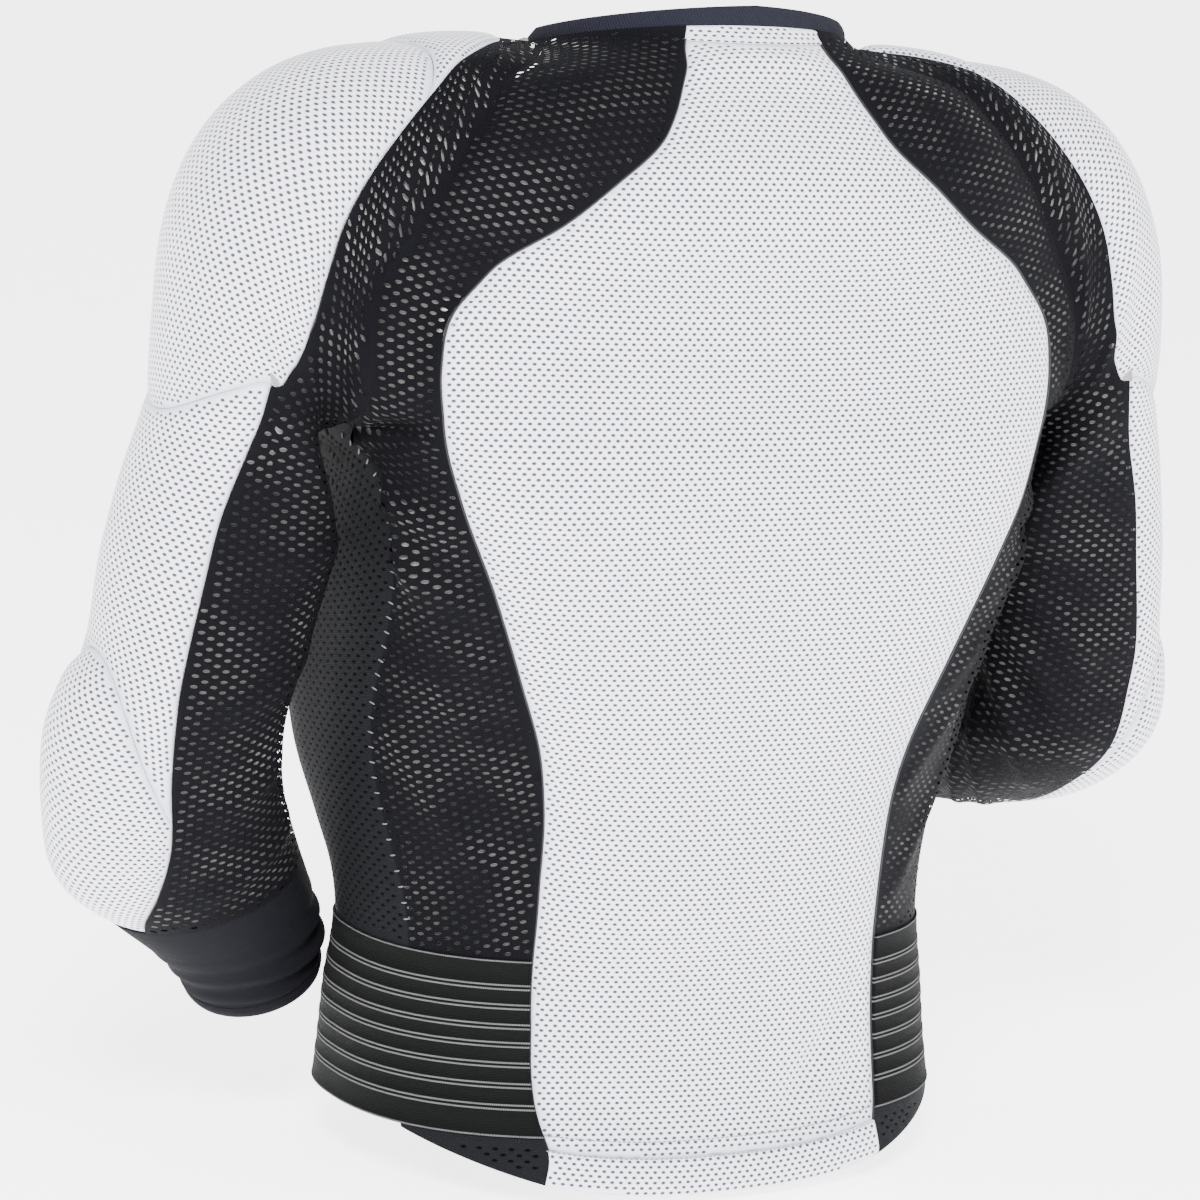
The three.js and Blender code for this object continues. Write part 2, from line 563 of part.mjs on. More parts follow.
// Net panel between an edge line and the armhole, then between that line and the side
// seam. half is 1 at the back and -1 in front; start is the edge line's top.
function netPanel({ surface, edgeLine, start, half, columns }) {
  const side = (z) => (z > UNDERARM_Z - 1 ? { turn: 0, z } : sideSeam(z));
  const across = (z) => (u) => ({ turn: mix(edgeLine(z).turn, side(z).turn, u), z });
  const upper = patch(
    (u) => neckline(mix(start.round, 0, u)),
    (u) => onBody(across(UNDERARM_Z)(u)).point,
    (v) => onBody(edgeLine(mix(start.z, UNDERARM_Z, v))).point,
    (v) => onBody(armholeSeam(half * Math.PI * v)).point);
  const settled = (u, v) => {
    const place = upper(u, v);
    return place.lerp(ontoBody(place), smoothstep(v, ONTO_BODY.from, ONTO_BODY.to));
  };
  const placeAt = (u, v, row, column) => {
    const z = edgeHeight(row, start.z);
    if (row > ARMHOLE_STEPS) return onBody(across(z)(u));
    const share = row / ARMHOLE_STEPS;
    if (column === 0) return onBody(edgeLine(z));
    const isRim = column === columns;
    const normal = isRim ? seamNormal(surface, half * rowRound(row)) : patchNormal(settled, u, share);
    return { point: settled(u, share), normal };
  };
  return bodyPanel({ placeAt, across: steps(0, 1, columns), along: ROWS, depthAt: netDepth });
}

function backNet(surface) {
  const start = { round: EDGE_ROUND, z: EDGE_TOP_Z };
  return netPanel({ surface, edgeLine: backEdge, start, half: 1, columns: BACK_NET_ACROSS });
}

// Front panel, from the closure strip to the armhole and the side seam.
function frontNet(surface) {
  const edgeLine = (z) => ({ turn: -turnAt(PLACKET_HALF, z), z });
  const start = { round: PLACKET_ROUND, z: PLACKET_TOP_Z };
  return netPanel({ surface, edgeLine, start, half: -1, columns: FRONT_NET_ACROSS });
}

// A band of the body between two heights, from one turn to another at each height.
function bodyBand({ from, to, topZ, lowZ, across, down, depthAt }) {
  const placeAt = (u, v) => {
    const z = mix(topZ, lowZ, v);
    return onBody({ turn: mix(from(z), to(z), u), z });
  };
  return bodyPanel({ placeAt, across: steps(0, 1, across), along: steps(0, 1, down), depthAt });
}

// How far the back hangs lower than its edges, from none at the belt to HEM_DIP at the hem.
function hemDip(z, across) {
  const depth = clamp((WAIST_Z - z) / (WAIST_Z + BACK_LENGTH), 0, 1);
  return HEM_DIP * depth * (1 - (2 * across - 1) ** 2);
}

// Place on the back between the two edges of the back pad.
function backPlace(z, across) {
  const edge = backEdge(z).turn;
  const place = onBody({ turn: mix(edge, Math.PI - edge, across), z });
  place.point.z -= hemDip(z, across);
  return place;
}

function backPad() {
  const stripZ = EDGE_TOP_Z - NECK_STRIP_HEIGHT;
  const upper = steps(0, ROW_COUNT, ROW_COUNT).map((row) => edgeHeight(row, EDGE_TOP_Z));
  const lower = steps(WAIST_Z, BELT_BOTTOM_Z, BELT_STEPS).slice(1);
  const heights = [stripZ, ...upper.filter((z) => z < stripZ - 1), ...lower, PAD_BOTTOM_Z];
  const depthAt = (u, v) => {
    const swell = padSwell(u, v);
    return { out: BACK_PAD_CROWN * swell, in: PAD_EDGE + BACK_PAD_FILL * swell };
  };
  return bodyPanel({
    placeAt: (u, v, row) => backPlace(heights[row], u),
    across: steps(0, 1, BACK_PAD_ACROSS),
    along: steps(0, 1, heights.length - 1),
    depthAt,
  });
}

const padDepth = () => ({ out: 0, in: PAD_EDGE });
const beltDepth = () => ({ out: BELT_WALL / 2, in: BELT_WALL / 2 });

function backHem() {
  return bodyPanel({
    placeAt: (u, v) => backPlace(mix(PAD_BOTTOM_Z, -BACK_LENGTH, v), u),
    across: steps(0, 1, BACK_PAD_ACROSS),
    along: steps(0, 1, HEM_STEPS),
    depthAt: padDepth,
  });
}

// Strip between the neckline and the back pad.
function neckStrip() {
  const lowZ = EDGE_TOP_Z - NECK_STRIP_HEIGHT;
  const edge = backEdge(lowZ).turn;
  const placeAt = (u, v) => {
    const low = onBody({ turn: mix(edge, Math.PI - edge, u), z: lowZ });
    const top = neckline(mix(EDGE_ROUND, Math.PI - EDGE_ROUND, u));
    return { point: top.lerp(low.point, v), normal: low.normal };
  };
  const across = steps(0, 1, NECK_STRIP_ACROSS);
  return bodyPanel({ placeAt, across, along: [0, 1], depthAt: netDepth });
}

const roundsOf = (count) => Array.from({ length: count }, (_, k) => (2 * Math.PI * k) / count);

// Ribbed binding that stands on the neckline all the way round.
function collar() {
  const rounds = roundsOf(COLLAR_AROUND);
  const line = (rise, depth) => rounds.map((round) => {
    const place = neckline(asin(sin(round)));
    place.x *= sign(cos(round));
    const outward = new THREE.Vector3(place.x, place.y, 0).normalize();
    const height = rise * COLLAR_HEIGHT * mix(1, COLLAR_SIDE, abs(cos(round)));
    place.z += height;
    return place.addScaledVector(outward, -COLLAR_INSET - COLLAR_LEAN * height - depth);
  });
  return wallBetween([line(0, 0), line(1, 0)], [line(0, RIB_WALL), line(1, RIB_WALL)], true);
}

function placket() {
  return bodyBand({
    from: (z) => -turnAt(PLACKET_HALF, z), to: (z) => turnAt(PLACKET_HALF, z) - Math.PI,
    topZ: PLACKET_TOP_Z, lowZ: WAIST_Z, across: PLACKET_ACROSS, down: ROW_COUNT,
    depthAt: () => ({ out: PLACKET_RISE, in: NET_WALL }),
  });
}

function belt() {
  return bodyBand({
    from: (z) => backEdge(z).turn, to: (z) => -turnAt(BELT_TAB_HALF, z),
    topZ: WAIST_Z, lowZ: BELT_BOTTOM_Z, across: BELT_ACROSS, down: BELT_STEPS,
    depthAt: beltDepth,
  });
}

function beltTab() {
  return bodyBand({
    from: (z) => -turnAt(BELT_TAB_HALF, z), to: (z) => turnAt(BELT_TAB_HALF, z) - Math.PI,
    topZ: WAIST_Z, lowZ: BELT_BOTTOM_Z, across: BELT_TAB_ACROSS, down: BELT_STEPS,
    depthAt: beltDepth,
  });
}

// Net that shows under the belt beside the back hem, and tapers off towards the side.
function hemNet() {
  const placeAt = (u, v) => {
    const lowZ = mix(-BACK_LENGTH, BELT_BOTTOM_Z, HEM_NET_TAPER * u);
    const z = mix(BELT_BOTTOM_Z, lowZ, v);
    return onBody({ turn: backEdge(z).turn - radians(HEM_NET_TURN) * u, z });
  };
  const across = steps(0, 1, HEM_NET_ACROSS);
  return bodyPanel({ placeAt, across, along: steps(0, 1, HEM_STEPS), depthAt: netDepth });
}

// Ring numbers of the sleeve's rows at the pads' edges, piece by piece.
const TOP_ROWS = steps(PAD_START.edge, TOP_SEAM.edge, TOP_STEPS);
const CAP_ROWS = steps(TOP_SEAM.edge, CAP_SEAM.edge, CAP_STEPS);
const ARM_ROWS = steps(CAP_SEAM.edge, ELBOW_SEAM.edge, ARM_STEPS);
const ELBOW_ROWS = steps(ELBOW_SEAM.edge, PAD_END.edge, ELBOW_STEPS);

function sleeveWall(outer, normals, depth, closed = false) {
  const inner = outer.map((line, i) => line.map((place, j) =>
    place.clone().addScaledVector(normals[i][j], -depth)));
  return drawnInWall(outer, inner, closed);
}

// Net round the inner side of the sleeve, from one edge of the pads to the other.
function sleeveNet(surface) {
  const rows = NET_TOP_ROWS.map((share) => share * PAD_START.edge).concat(
    TOP_ROWS, CAP_ROWS.slice(1), ARM_ROWS.slice(1), ELBOW_ROWS.slice(1));
  const outer = [];
  const normals = [];
  for (const at of rows) {
    const edge = surface.edge(at);
    const line = [];
    const lineNormals = [];
    for (let j = 0; j <= 2 * ARMHOLE_STEPS; j += 1) {
      const share = j / ARMHOLE_STEPS;
      const round = share <= 1
        ? mix(edge, Math.PI, share)
        : mix(Math.PI, 2 * Math.PI - edge * FRONT_EDGE_SHARE, share - 1);
      line.push(surface.point(at, round));
      lineNormals.push(at === 0 ? seamNormal(surface, round) : surface.normal(at, round));
    }
    outer.push(line);
    normals.push(lineNormals);
  }
  return sleeveWall(outer, normals, NET_WALL);
}

// Pad on the outer side of the sleeve, between two cross seams.
function sleevePad(surface, start, end, rows) {
  const across = SLEEVE_PAD_ACROSS;
  const outer = [];
  const inner = [];
  rows.forEach((edgeAt, i) => {
    const along = i / (rows.length - 1);
    const middleAt = mix(start.outer, end.outer, along);
    const line = [];
    const innerLine = [];
    for (let j = 0; j <= across; j += 1) {
      const side = (2 * j) / across - 1;
      const at = mix(middleAt, edgeAt, side * side);
      const reach = surface.edge(edgeAt) * (side < 0 ? FRONT_EDGE_SHARE : 1);
      const round = side * reach;
      const swell = padSwell(j / across, along);
      const normal = surface.normal(at, round);
      const place = surface.point(at, round);
      line.push(place.clone().addScaledVector(normal, SLEEVE_PAD_CROWN * swell));
      innerLine.push(place.addScaledVector(normal, -PAD_EDGE - SLEEVE_PAD_FILL * swell));
    }
    outer.push(line);
    inner.push(innerLine);
  });
  return drawnInWall(outer, inner);
}

// Whole tube of the sleeve between two ring numbers.
function sleeveTube(surface, from, to, rows, wall) {
  const rounds = roundsOf(TUBE_AROUND);
  const outer = [];
  const normals = [];
  for (const at of steps(from, to, rows)) {
    outer.push(rounds.map((round) => surface.point(at, round)));
    normals.push(rounds.map((round) => surface.normal(at, round)));
  }
  return sleeveWall(outer, normals, wall, true);
}

function material(colour, roughness) {
  return new THREE.MeshStandardMaterial({ color: colour, roughness, metalness: 0 });
}

const blackNet = () => material(0x17171c, 0.85);
const blackMesh = () => material(0x1d1f26, 0.85);
const greyMesh = () => material(0xd3d4de, 0.8);
const blackKnit = () => material(0x15151b, 0.9);
const blackElastic = () => material(0x202024, 0.75);

const jacket = new THREE.Group();

function mirrored(geometry) {
  const copy = geometry.clone();
  copy.scale(-1, 1, 1);
  copy.index.array.reverse();
  copy.computeVertexNormals();
  return copy;
}

function add(name, geometry, finish) {
  const mesh = new THREE.Mesh(geometry, finish);
  mesh.name = name;
  jacket.add(mesh);
}

function addSleeve(side, surface, placed) {
  const ringSpacing = SLEEVE_DROP / SLEEVE_END;
  const cuffStart = SLEEVE_END - CUFF_HEIGHT / ringSpacing;
  const pieces = [
    ["sleeve_net", sleeveNet(surface), blackNet()],
    ["shoulder_top", sleevePad(surface, PAD_START, TOP_SEAM, TOP_ROWS), greyMesh()],
    ["shoulder_cap", sleevePad(surface, TOP_SEAM, CAP_SEAM, CAP_ROWS), greyMesh()],
    ["arm_pad", sleevePad(surface, CAP_SEAM, ELBOW_SEAM, ARM_ROWS), greyMesh()],
    ["elbow_pad", sleevePad(surface, ELBOW_SEAM, PAD_END, ELBOW_ROWS), greyMesh()],
    ["forearm", sleeveTube(surface, PAD_END.edge, cuffStart, FOREARM_STEPS, NET_WALL), blackKnit()],
    ["cuff", sleeveTube(surface, cuffStart, SLEEVE_END, 1, RIB_WALL), blackKnit()],
  ];
  for (const [name, geometry, finish] of pieces) {
    add(`${name}_${side}`, placed(geometry), finish);
  }
}

const asIs = (geometry) => geometry;

add("back_pad", backPad(), greyMesh());
add("back_hem", backHem(), greyMesh());
add("neck_strip", neckStrip(), greyMesh());
add("collar", collar(), blackElastic());
add("front_placket", placket(), blackElastic());
add("belt_tab", beltTab(), blackElastic());
for (const [side, placed, forearm] of [
  ["left", asIs, LEFT_FOREARM], ["right", mirrored, RIGHT_FOREARM],
]) {
  const surface = sleeveSurface(forearm);
  add(`back_net_${side}`, placed(backNet(surface)), blackNet());
  add(`front_net_${side}`, placed(frontNet(surface)), blackMesh());
  add(`belt_${side}`, placed(belt()), blackElastic());
  add(`hem_net_${side}`, placed(hemNet()), blackNet());
  addSleeve(side, surface, placed);
}

export default jacket;
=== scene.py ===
# Looks of the padded body armour jacket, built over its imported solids.
import math
import bpy
import numpy as np
from mathutils import Matrix, Vector, bvhtree, geometry


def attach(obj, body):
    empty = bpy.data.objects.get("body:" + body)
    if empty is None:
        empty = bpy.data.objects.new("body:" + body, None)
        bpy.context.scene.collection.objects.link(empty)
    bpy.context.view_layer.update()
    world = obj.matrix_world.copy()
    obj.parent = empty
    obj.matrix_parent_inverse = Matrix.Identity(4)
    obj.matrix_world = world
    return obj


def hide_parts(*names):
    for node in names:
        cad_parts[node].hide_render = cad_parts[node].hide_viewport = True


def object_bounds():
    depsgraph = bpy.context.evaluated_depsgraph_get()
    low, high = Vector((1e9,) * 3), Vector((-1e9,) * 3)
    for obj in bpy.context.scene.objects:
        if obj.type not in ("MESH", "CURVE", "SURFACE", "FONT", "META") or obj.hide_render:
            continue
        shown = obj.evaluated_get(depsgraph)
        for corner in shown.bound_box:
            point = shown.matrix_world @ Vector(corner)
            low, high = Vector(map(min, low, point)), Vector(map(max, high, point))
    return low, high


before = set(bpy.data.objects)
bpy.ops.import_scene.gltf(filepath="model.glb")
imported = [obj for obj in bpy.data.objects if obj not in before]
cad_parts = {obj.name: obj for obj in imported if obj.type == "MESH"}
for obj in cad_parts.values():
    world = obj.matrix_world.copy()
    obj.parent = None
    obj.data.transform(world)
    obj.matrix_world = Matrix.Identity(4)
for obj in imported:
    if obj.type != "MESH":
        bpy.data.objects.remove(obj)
CAD_LOW, CAD_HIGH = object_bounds()
MM = 0.001

# Camera of the photo: turn and rise of the view, roll, distance and aim in metres.
VIEW_TURN, VIEW_RISE, VIEW_ROLL = 152.7, 9.96, 3.25
VIEW_DISTANCE, VIEW_AIM, VIEW_LENS = 2.5116, (0.0307, 0, -0.3343), 131.2


def add_camera():
    turn, rise, roll = (math.radians(a) for a in (VIEW_TURN, VIEW_RISE, VIEW_ROLL))
    back = Vector((math.sin(turn) * math.cos(rise), -math.cos(turn) * math.cos(rise), math.sin(rise)))
    right = Vector((0, 0, 1)).cross(back).normalized()
    up = back.cross(right)
    rolled = math.cos(roll) * right + math.sin(roll) * up
    risen = math.cos(roll) * up - math.sin(roll) * right
    data = bpy.data.cameras.new("camera")
    data.lens, data.sensor_width = VIEW_LENS, 36
    data.clip_start, data.clip_end = 0.1, 30
    camera = bpy.data.objects.new("camera", data)
    bpy.context.scene.collection.objects.link(camera)
    place = Vector(VIEW_AIM) + back * VIEW_DISTANCE
    camera.matrix_world = Matrix((
        (rolled.x, risen.x, back.x, place.x), (rolled.y, risen.y, back.y, place.y),
        (rolled.z, risen.z, back.z, place.z), (0, 0, 0, 1)))
    bpy.context.scene.camera = camera


add_camera()

# Sizes in millimetres, the same as the solids' sizes.
BACK_LENGTH, CHEST_HALF, BACK_DEPTH, FRONT_DEPTH = 640, 248, 142, 122
NECK_HALF, NECK_SIDE_DROP, NECK_FRONT_DROP, ARMHOLE_HEIGHT, ARMHOLE_BOW = 94, 17, 57, 208, 37
BACK_PAD_HALF, WAIST_UP, BELT_HEIGHT, HEM_HEIGHT, HEM_DIP = 191, 122, 97, 19, 8
NECK_STRIP_HEIGHT, COLLAR_HEIGHT, COLLAR_SIDE, COLLAR_INSET, COLLAR_LEAN = 7, 11, 0.7, 0.3, 0.35
PLACKET_HALF, BELT_TAB_HALF, HEM_NET_TURN, HEM_NET_TAPER = 11, 42, 34, 0.92
SLEEVE_OUT, SLEEVE_DROP, INNER_DROP, SLEEVE_HALF_DEPTH, CUFF_HEIGHT = 110, 560, 335, 80, 9
PAD_EDGE = 3
BACK_PAD_CROWN, BACK_PAD_FILL, SLEEVE_PAD_CROWN, SLEEVE_PAD_FILL = 5, 9, 2.5, 7
NECK_SIDE_Z = -NECK_SIDE_DROP
NECK_FRONT_Z = NECK_SIDE_Z - NECK_FRONT_DROP
UNDERARM_Z = NECK_SIDE_Z - ARMHOLE_HEIGHT
WAIST_Z = WAIST_UP - BACK_LENGTH
BELT_BOTTOM_Z = WAIST_Z - BELT_HEIGHT
PAD_BOTTOM_Z = HEM_HEIGHT - BACK_LENGTH


def rows(names, *values):
    """A table as one array for each named column."""
    return dict(zip(names.split(), np.array(values, float).T))


BODY = rows(
    "down half back front middle square",
    (-0.02, 0.35, 0.63, 0.47, 0, 2.1),
    (0, 0.36, 0.637, 0.48, 0, 2.1),
    (0.0266, 0.379, 0.75, 0.57, 0, 2.1),
    (0.044, 0.665, 0.79, 0.65, -0.02, 2.1),
    (0.077, 0.83, 0.89, 0.74, -0.03, 2.2),
    (0.119, 0.91, 0.98, 0.82, -0.035, 2.3),
    (0.165, 0.955, 1, 0.88, -0.035, 2.5),
    (0.211, 0.985, 0.975, 0.93, -0.035, 2.8),
    (0.258, 1, 0.99, 0.965, -0.035, 3),
    (0.305, 0.96, 1.01, 0.985, -0.035, 3.3),
    (0.352, 0.863, 1.055, 1, -0.04, 3.8),
    (0.4, 0.83, 1.07, 1, -0.05, 3.9),
    (0.46, 0.82, 1.065, 1, -0.07, 3.5),
    (0.53, 0.815, 1.075, 0.98, -0.12, 3),
    (0.6, 0.812, 1.09, 0.94, -0.18, 2.6),
    (0.66, 0.79, 1.07, 0.88, -0.2, 2.4),
    (0.72, 0.75, 0.99, 0.86, -0.14, 2.3),
    (0.77, 0.72, 0.89, 0.87, -0.06, 2.3),
    (0.81, 0.71, 0.82, 0.87, -0.02, 2.4),
    (0.87, 0.73, 0.816, 0.88, -0.01, 2.4),
    (0.93, 0.742, 0.86, 0.9, 0, 2.4),
    (0.97, 0.75, 0.94, 0.92, 0, 2.4),
    (1.03, 0.76, 1, 0.93, 0, 2.4),
)
BACK_EDGE = rows(
    "down half",
    (-0.02, 0.205),
    (0, 0.209),
    (0.019, 0.232),
    (0.044, 0.27),
    (0.071, 0.32),
    (0.096, 0.38),
    (0.129, 0.516),
    (0.166, 0.672),
    (0.2, 0.848),
    (0.217, 0.901),
    (0.24, 0.964),
    (0.287, 1),
    (0.33, 0.991),
    (0.4, 0.93),
    (0.483, 0.81),
    (0.558, 0.706),
    (0.627, 0.617),
    (0.67, 0.588),
    (0.75, 0.575),
    (0.86, 0.576),
    (0.95, 0.565),
    (0.975, 0.546),
    (1, 0.56),
)
SIDE_SEAM = rows(
    "down turn",
    (0.352, 0),
    (0.38, 11),
    (0.42, 17),
    (0.62, 21),
    (0.81, 23),
)
ARMHOLE = rows(
    "down out",
    (0, 0),
    (0.053, 0.31),
    (0.156, 0.52),
    (0.284, 0.69),
    (0.389, 0.805),
    (0.48, 0.89),
    (0.567, 0.99),
    (0.64, 1.044),
    (0.72, 1.067),
    (0.86, 1.05),
    (1, 1),
)
UPPER_RINGS = rows(
    "outX outDown inX inDown middle back front bend swing square inner bow edge",
    (-0.98, 0, 0, 0, -0.05, 1.12, 1.05, 0, 0, 3, 3, 1, 0),
    (-0.673, -0.004, 0.045, 0.009, 0.03, 1.09, 1.02, 0, 0, 2.9, 2.9, 1, 16.5),
    (-0.364, 0.004, 0.073, 0.018, 0.08, 1, 0.97, 0, 0, 2.7, 2.7, 0.92, 70),
    (-0.018, 0.015, 0.109, 0.027, 0.08, 0.98, 0.92, 0, 0, 2.5, 2.5, 0.81, 99),
    (0.26, 0.035, 0.125, 0.039, 0.1, 0.95, 0.88, 0, 0, 2.4, 2.5, 0.65, 104),
    (0.51, 0.071, 0.125, 0.054, 0.12, 0.86, 0.84, 0, 0, 2.3, 2.8, 0.48, 102.5),
    (0.7, 0.121, 0.115, 0.072, 0.16, 0.78, 0.8, 0, 0, 2.2, 3.2, 0.32, 96.5),
    (0.825, 0.186, 0.095, 0.096, 0.21, 0.72, 0.77, 0, 0, 2.1, 3.5, 0.2, 91),
    (0.893, 0.275, 0.06, 0.125, 0.26, 0.63, 0.73, 0, 0, 2.1, 3.5, 0.1, 84),
    (0.93, 0.357, 0.018, 0.164, 0.25, 0.58, 0.7, 0, 0, 2.2, 3.2, 0, 75),
    (1.02, 0.436, -0.03, 0.218, 0.17, 0.62, 0.67, 0, 0, 2.2, 2.7, 0, 69),
    (1.09, 0.507, 0, 0.301, 0.12, 0.62, 0.65, 2, 0, 2.2, 2.3, 0, 69),
    (1.14, 0.59, 0.07, 0.409, 0.08, 0.61, 0.66, 5, 0, 2.2, 2.1, 0, 68),
    (1.25, 0.64, 0.11, 0.493, 0, 0.6, 0.68, 8, 0, 2.1, 2.1, 0, 75.5),
)
LEFT_FOREARM = rows(
    "outX outDown inX inDown middle back front bend swing square inner bow edge",
    (1.3, 0.702, 0.08, 0.576, -0.12, 0.58, 0.68, 12, 0, 2.1, 2.1, 0, 80),
    (1.24, 0.786, 0.009, 0.642, -0.28, 0.58, 0.66, 16, 0, 2.1, 2.1, 0, 78),
    (1.127, 0.845, -0.082, 0.696, -0.44, 0.57, 0.62, 19, 0, 2.1, 2.1, 0, 66),
    (0.855, 0.889, -0.182, 0.755, -0.58, 0.55, 0.58, 21, 0, 2, 2, 0, 38),
    (0.582, 0.929, -0.291, 0.821, -0.72, 0.52, 0.54, 22, 0, 2, 2, 0, 30),
    (0.382, 0.964, -0.382, 0.896, -0.85, 0.49, 0.5, 22, 0, 2, 2, 0, 30),
    (0.236, 1, -0.436, 0.964, -0.97, 0.46, 0.47, 22, 0, 2, 2, 0, 30),
)
RIGHT_FOREARM = rows(
    "outX outDown inX inDown middle back front bend swing square inner bow edge",
    (1.3, 0.7, 0.091, 0.576, -0.12, 0.6, 0.68, 18, 2, 2.1, 2.1, 0, 80),
    (1.22, 0.735, 0.055, 0.6, -0.36, 0.6, 0.66, 38, 10, 2.1, 2.1, 0, 84),
    (1.08, 0.75, 0.018, 0.622, -0.68, 0.58, 0.62, 60, 20, 2.1, 2.1, 0, 78),
    (0.927, 0.76, -0.055, 0.636, -1.06, 0.55, 0.58, 74, 28, 2, 2, 0, 60),
    (0.709, 0.766, -0.145, 0.645, -1.44, 0.52, 0.54, 78, 30, 2, 2, 0, 30),
    (0.527, 0.771, -0.255, 0.654, -1.79, 0.49, 0.5, 80, 30, 2, 2, 0, 30),
    (0.364, 0.777, -0.364, 0.663, -2.11, 0.46, 0.47, 80, 30, 2, 2, 0, 30),
)


def smooth(knots, values, at):
    """Smooth values of a column between a table's rows."""
    at = np.clip(np.asarray(at, float), knots[0], knots[-1])
    step = np.diff(knots)
    slope = np.diff(values) / step
    tangent = np.concatenate([
        slope[:1], (slope[:-1] * step[1:] + slope[1:] * step[:-1]) / (step[:-1] + step[1:]), slope[-1:]])
    row = np.clip(np.searchsorted(knots, at, side="left") - 1, 0, len(step) - 1)
    t = (at - knots[row]) / step[row]
    rise = t * t * (3 - 2 * t)
    entry, leave = t * (1 - t) ** 2 * step[row], t * t * (t - 1) * step[row]
    return values[row] * (1 - rise) + values[row + 1] * rise + tangent[row] * entry + tangent[row + 1] * leave


def column(table, name, at, knot="down"):
    knots = table[knot] if knot else np.arange(len(table[name]), dtype=float)
    return smooth(knots, table[name], at)


def power(value, exponent):
    return np.sign(value) * np.abs(value) ** exponent


def body_section(z):
    down = -np.asarray(z, float) / BACK_LENGTH
    return (CHEST_HALF * column(BODY, "half", down), BACK_DEPTH * column(BODY, "back", down),
            FRONT_DEPTH * column(BODY, "front", down), BACK_DEPTH * column(BODY, "middle", down),
            column(BODY, "square", down))


def body_point(turn, z):
    """Point of the body's surface. Turn 0 is the left side, a right angle the middle of the back."""
    turn, z = np.broadcast_arrays(np.asarray(turn, float), np.asarray(z, float))
    half, back, front, middle, square = body_section(z)
    x = half * power(np.cos(turn), 2 / square)
    y = middle + np.where(np.sin(turn) > 0, back, front) * power(np.sin(turn), 2 / square)
    return np.stack([x, y, z], -1)


def onto_body(places):
    """Places moved on their own level to the body's surface."""
    half, back, front, middle, square = body_section(places[..., 2])
    gap = places[..., 1] - middle
    across = np.abs(places[..., 0] / half) ** square
    behind = np.abs(gap / np.where(gap > 0, back, front)) ** square
    scale = (across + behind) ** (-1 / square)
    return np.stack([places[..., 0] * scale, middle + gap * scale, places[..., 2]], -1)


def turn_at(x, z):
    half, _, _, _, square = body_section(z)
    share = np.minimum(np.abs(x) / half, 1) ** (square / 2)
    return np.arccos(np.sign(x) * share)


def armhole_seam(around):
    around = np.asarray(around, float)
    share = (1 - np.cos(around)) / 2
    z = NECK_SIDE_Z + (UNDERARM_Z - NECK_SIDE_Z) * share
    low = body_section(UNDERARM_Z)[0]
    x = NECK_HALF + (low - NECK_HALF) * column(ARMHOLE, "out", share)
    turn = turn_at(x, z)
    return np.where(np.sin(around) < 0, -turn, turn), z


def neckline(around):
    around = np.asarray(around, float)
    z = NECK_SIDE_Z + np.where(around < 0, NECK_FRONT_DROP, NECK_SIDE_DROP) * np.sin(around)
    front = body_point(-math.pi / 2, NECK_FRONT_Z)[1]
    back = body_point(math.pi / 2, 0)[1]
    y = np.where(around < 0, front, back) * np.abs(np.sin(around))
    return np.stack([NECK_HALF * np.cos(around), y, z], -1)


def pad_edge(z):
    return turn_at(BACK_PAD_HALF * column(BACK_EDGE, "half", -np.asarray(z, float) / BACK_LENGTH), z)


def side_seam(z):
    return np.radians(column(SIDE_SEAM, "turn", -np.asarray(z, float) / BACK_LENGTH))


SEAM_REACH = 2
PAD_START, TOP_SEAM, CAP_SEAM = (0.52, 0.6), (1.95, 1.65), (9, 7.15)
ELBOW_SEAM, PAD_END, SLEEVE_END = (12.1, 14.6), (17, 17), 20
FRONT_EDGE_SHARE = 0.92


def sleeve_table(forearm):
    return {name: np.concatenate([UPPER_RINGS[name], forearm[name]]) for name in UPPER_RINGS}


def ring_point(table, at, around):
    at, around = np.broadcast_arrays(np.asarray(at, float), np.asarray(around, float))
    col = {name: column(table, name, at, None) for name in table}
    underarm = body_section(UNDERARM_Z)[0]
    outer = np.stack([
        underarm + SLEEVE_OUT * col["outX"], 0 * at, NECK_SIDE_Z - SLEEVE_DROP * col["outDown"]], -1)
    inner = np.stack([
        underarm + SLEEVE_OUT * col["inX"], 0 * at, UNDERARM_Z - INNER_DROP * col["inDown"]], -1)
    middle = (outer + inner) / 2
    middle[..., 1] = SLEEVE_HALF_DEPTH * col["middle"]
    across = outer - inner
    half = np.linalg.norm(across, axis=-1, keepdims=True) / 2
    outward = across / (2 * half)
    down = np.stack([outward[..., 2], 0 * at, -outward[..., 0]], -1)
    back = np.zeros_like(down)
    back[..., 1] = 1
    bend, swing = np.radians(col["bend"])[..., None], np.radians(col["swing"])[..., None]
    bent_down = down * np.cos(bend) - back * np.sin(bend)
    bent_back = back * np.cos(bend) + down * np.sin(bend)
    swung = outward * np.cos(swing) + bent_down * np.sin(swing)
    along = bent_down * np.cos(swing) - outward * np.sin(swing)
    exponent = 2 / np.where(np.cos(around) > 0, col["square"], col["inner"])
    side = power(np.cos(around), exponent)[..., None]
    depth = SLEEVE_HALF_DEPTH * np.where(np.sin(around) > 0, col["back"], col["front"])
    behind = (depth * power(np.sin(around), exponent))[..., None]
    bow = ARMHOLE_BOW * col["bow"][..., None] * (1 - side * side)
    return middle + swung * half * side + bent_back * behind + along * bow


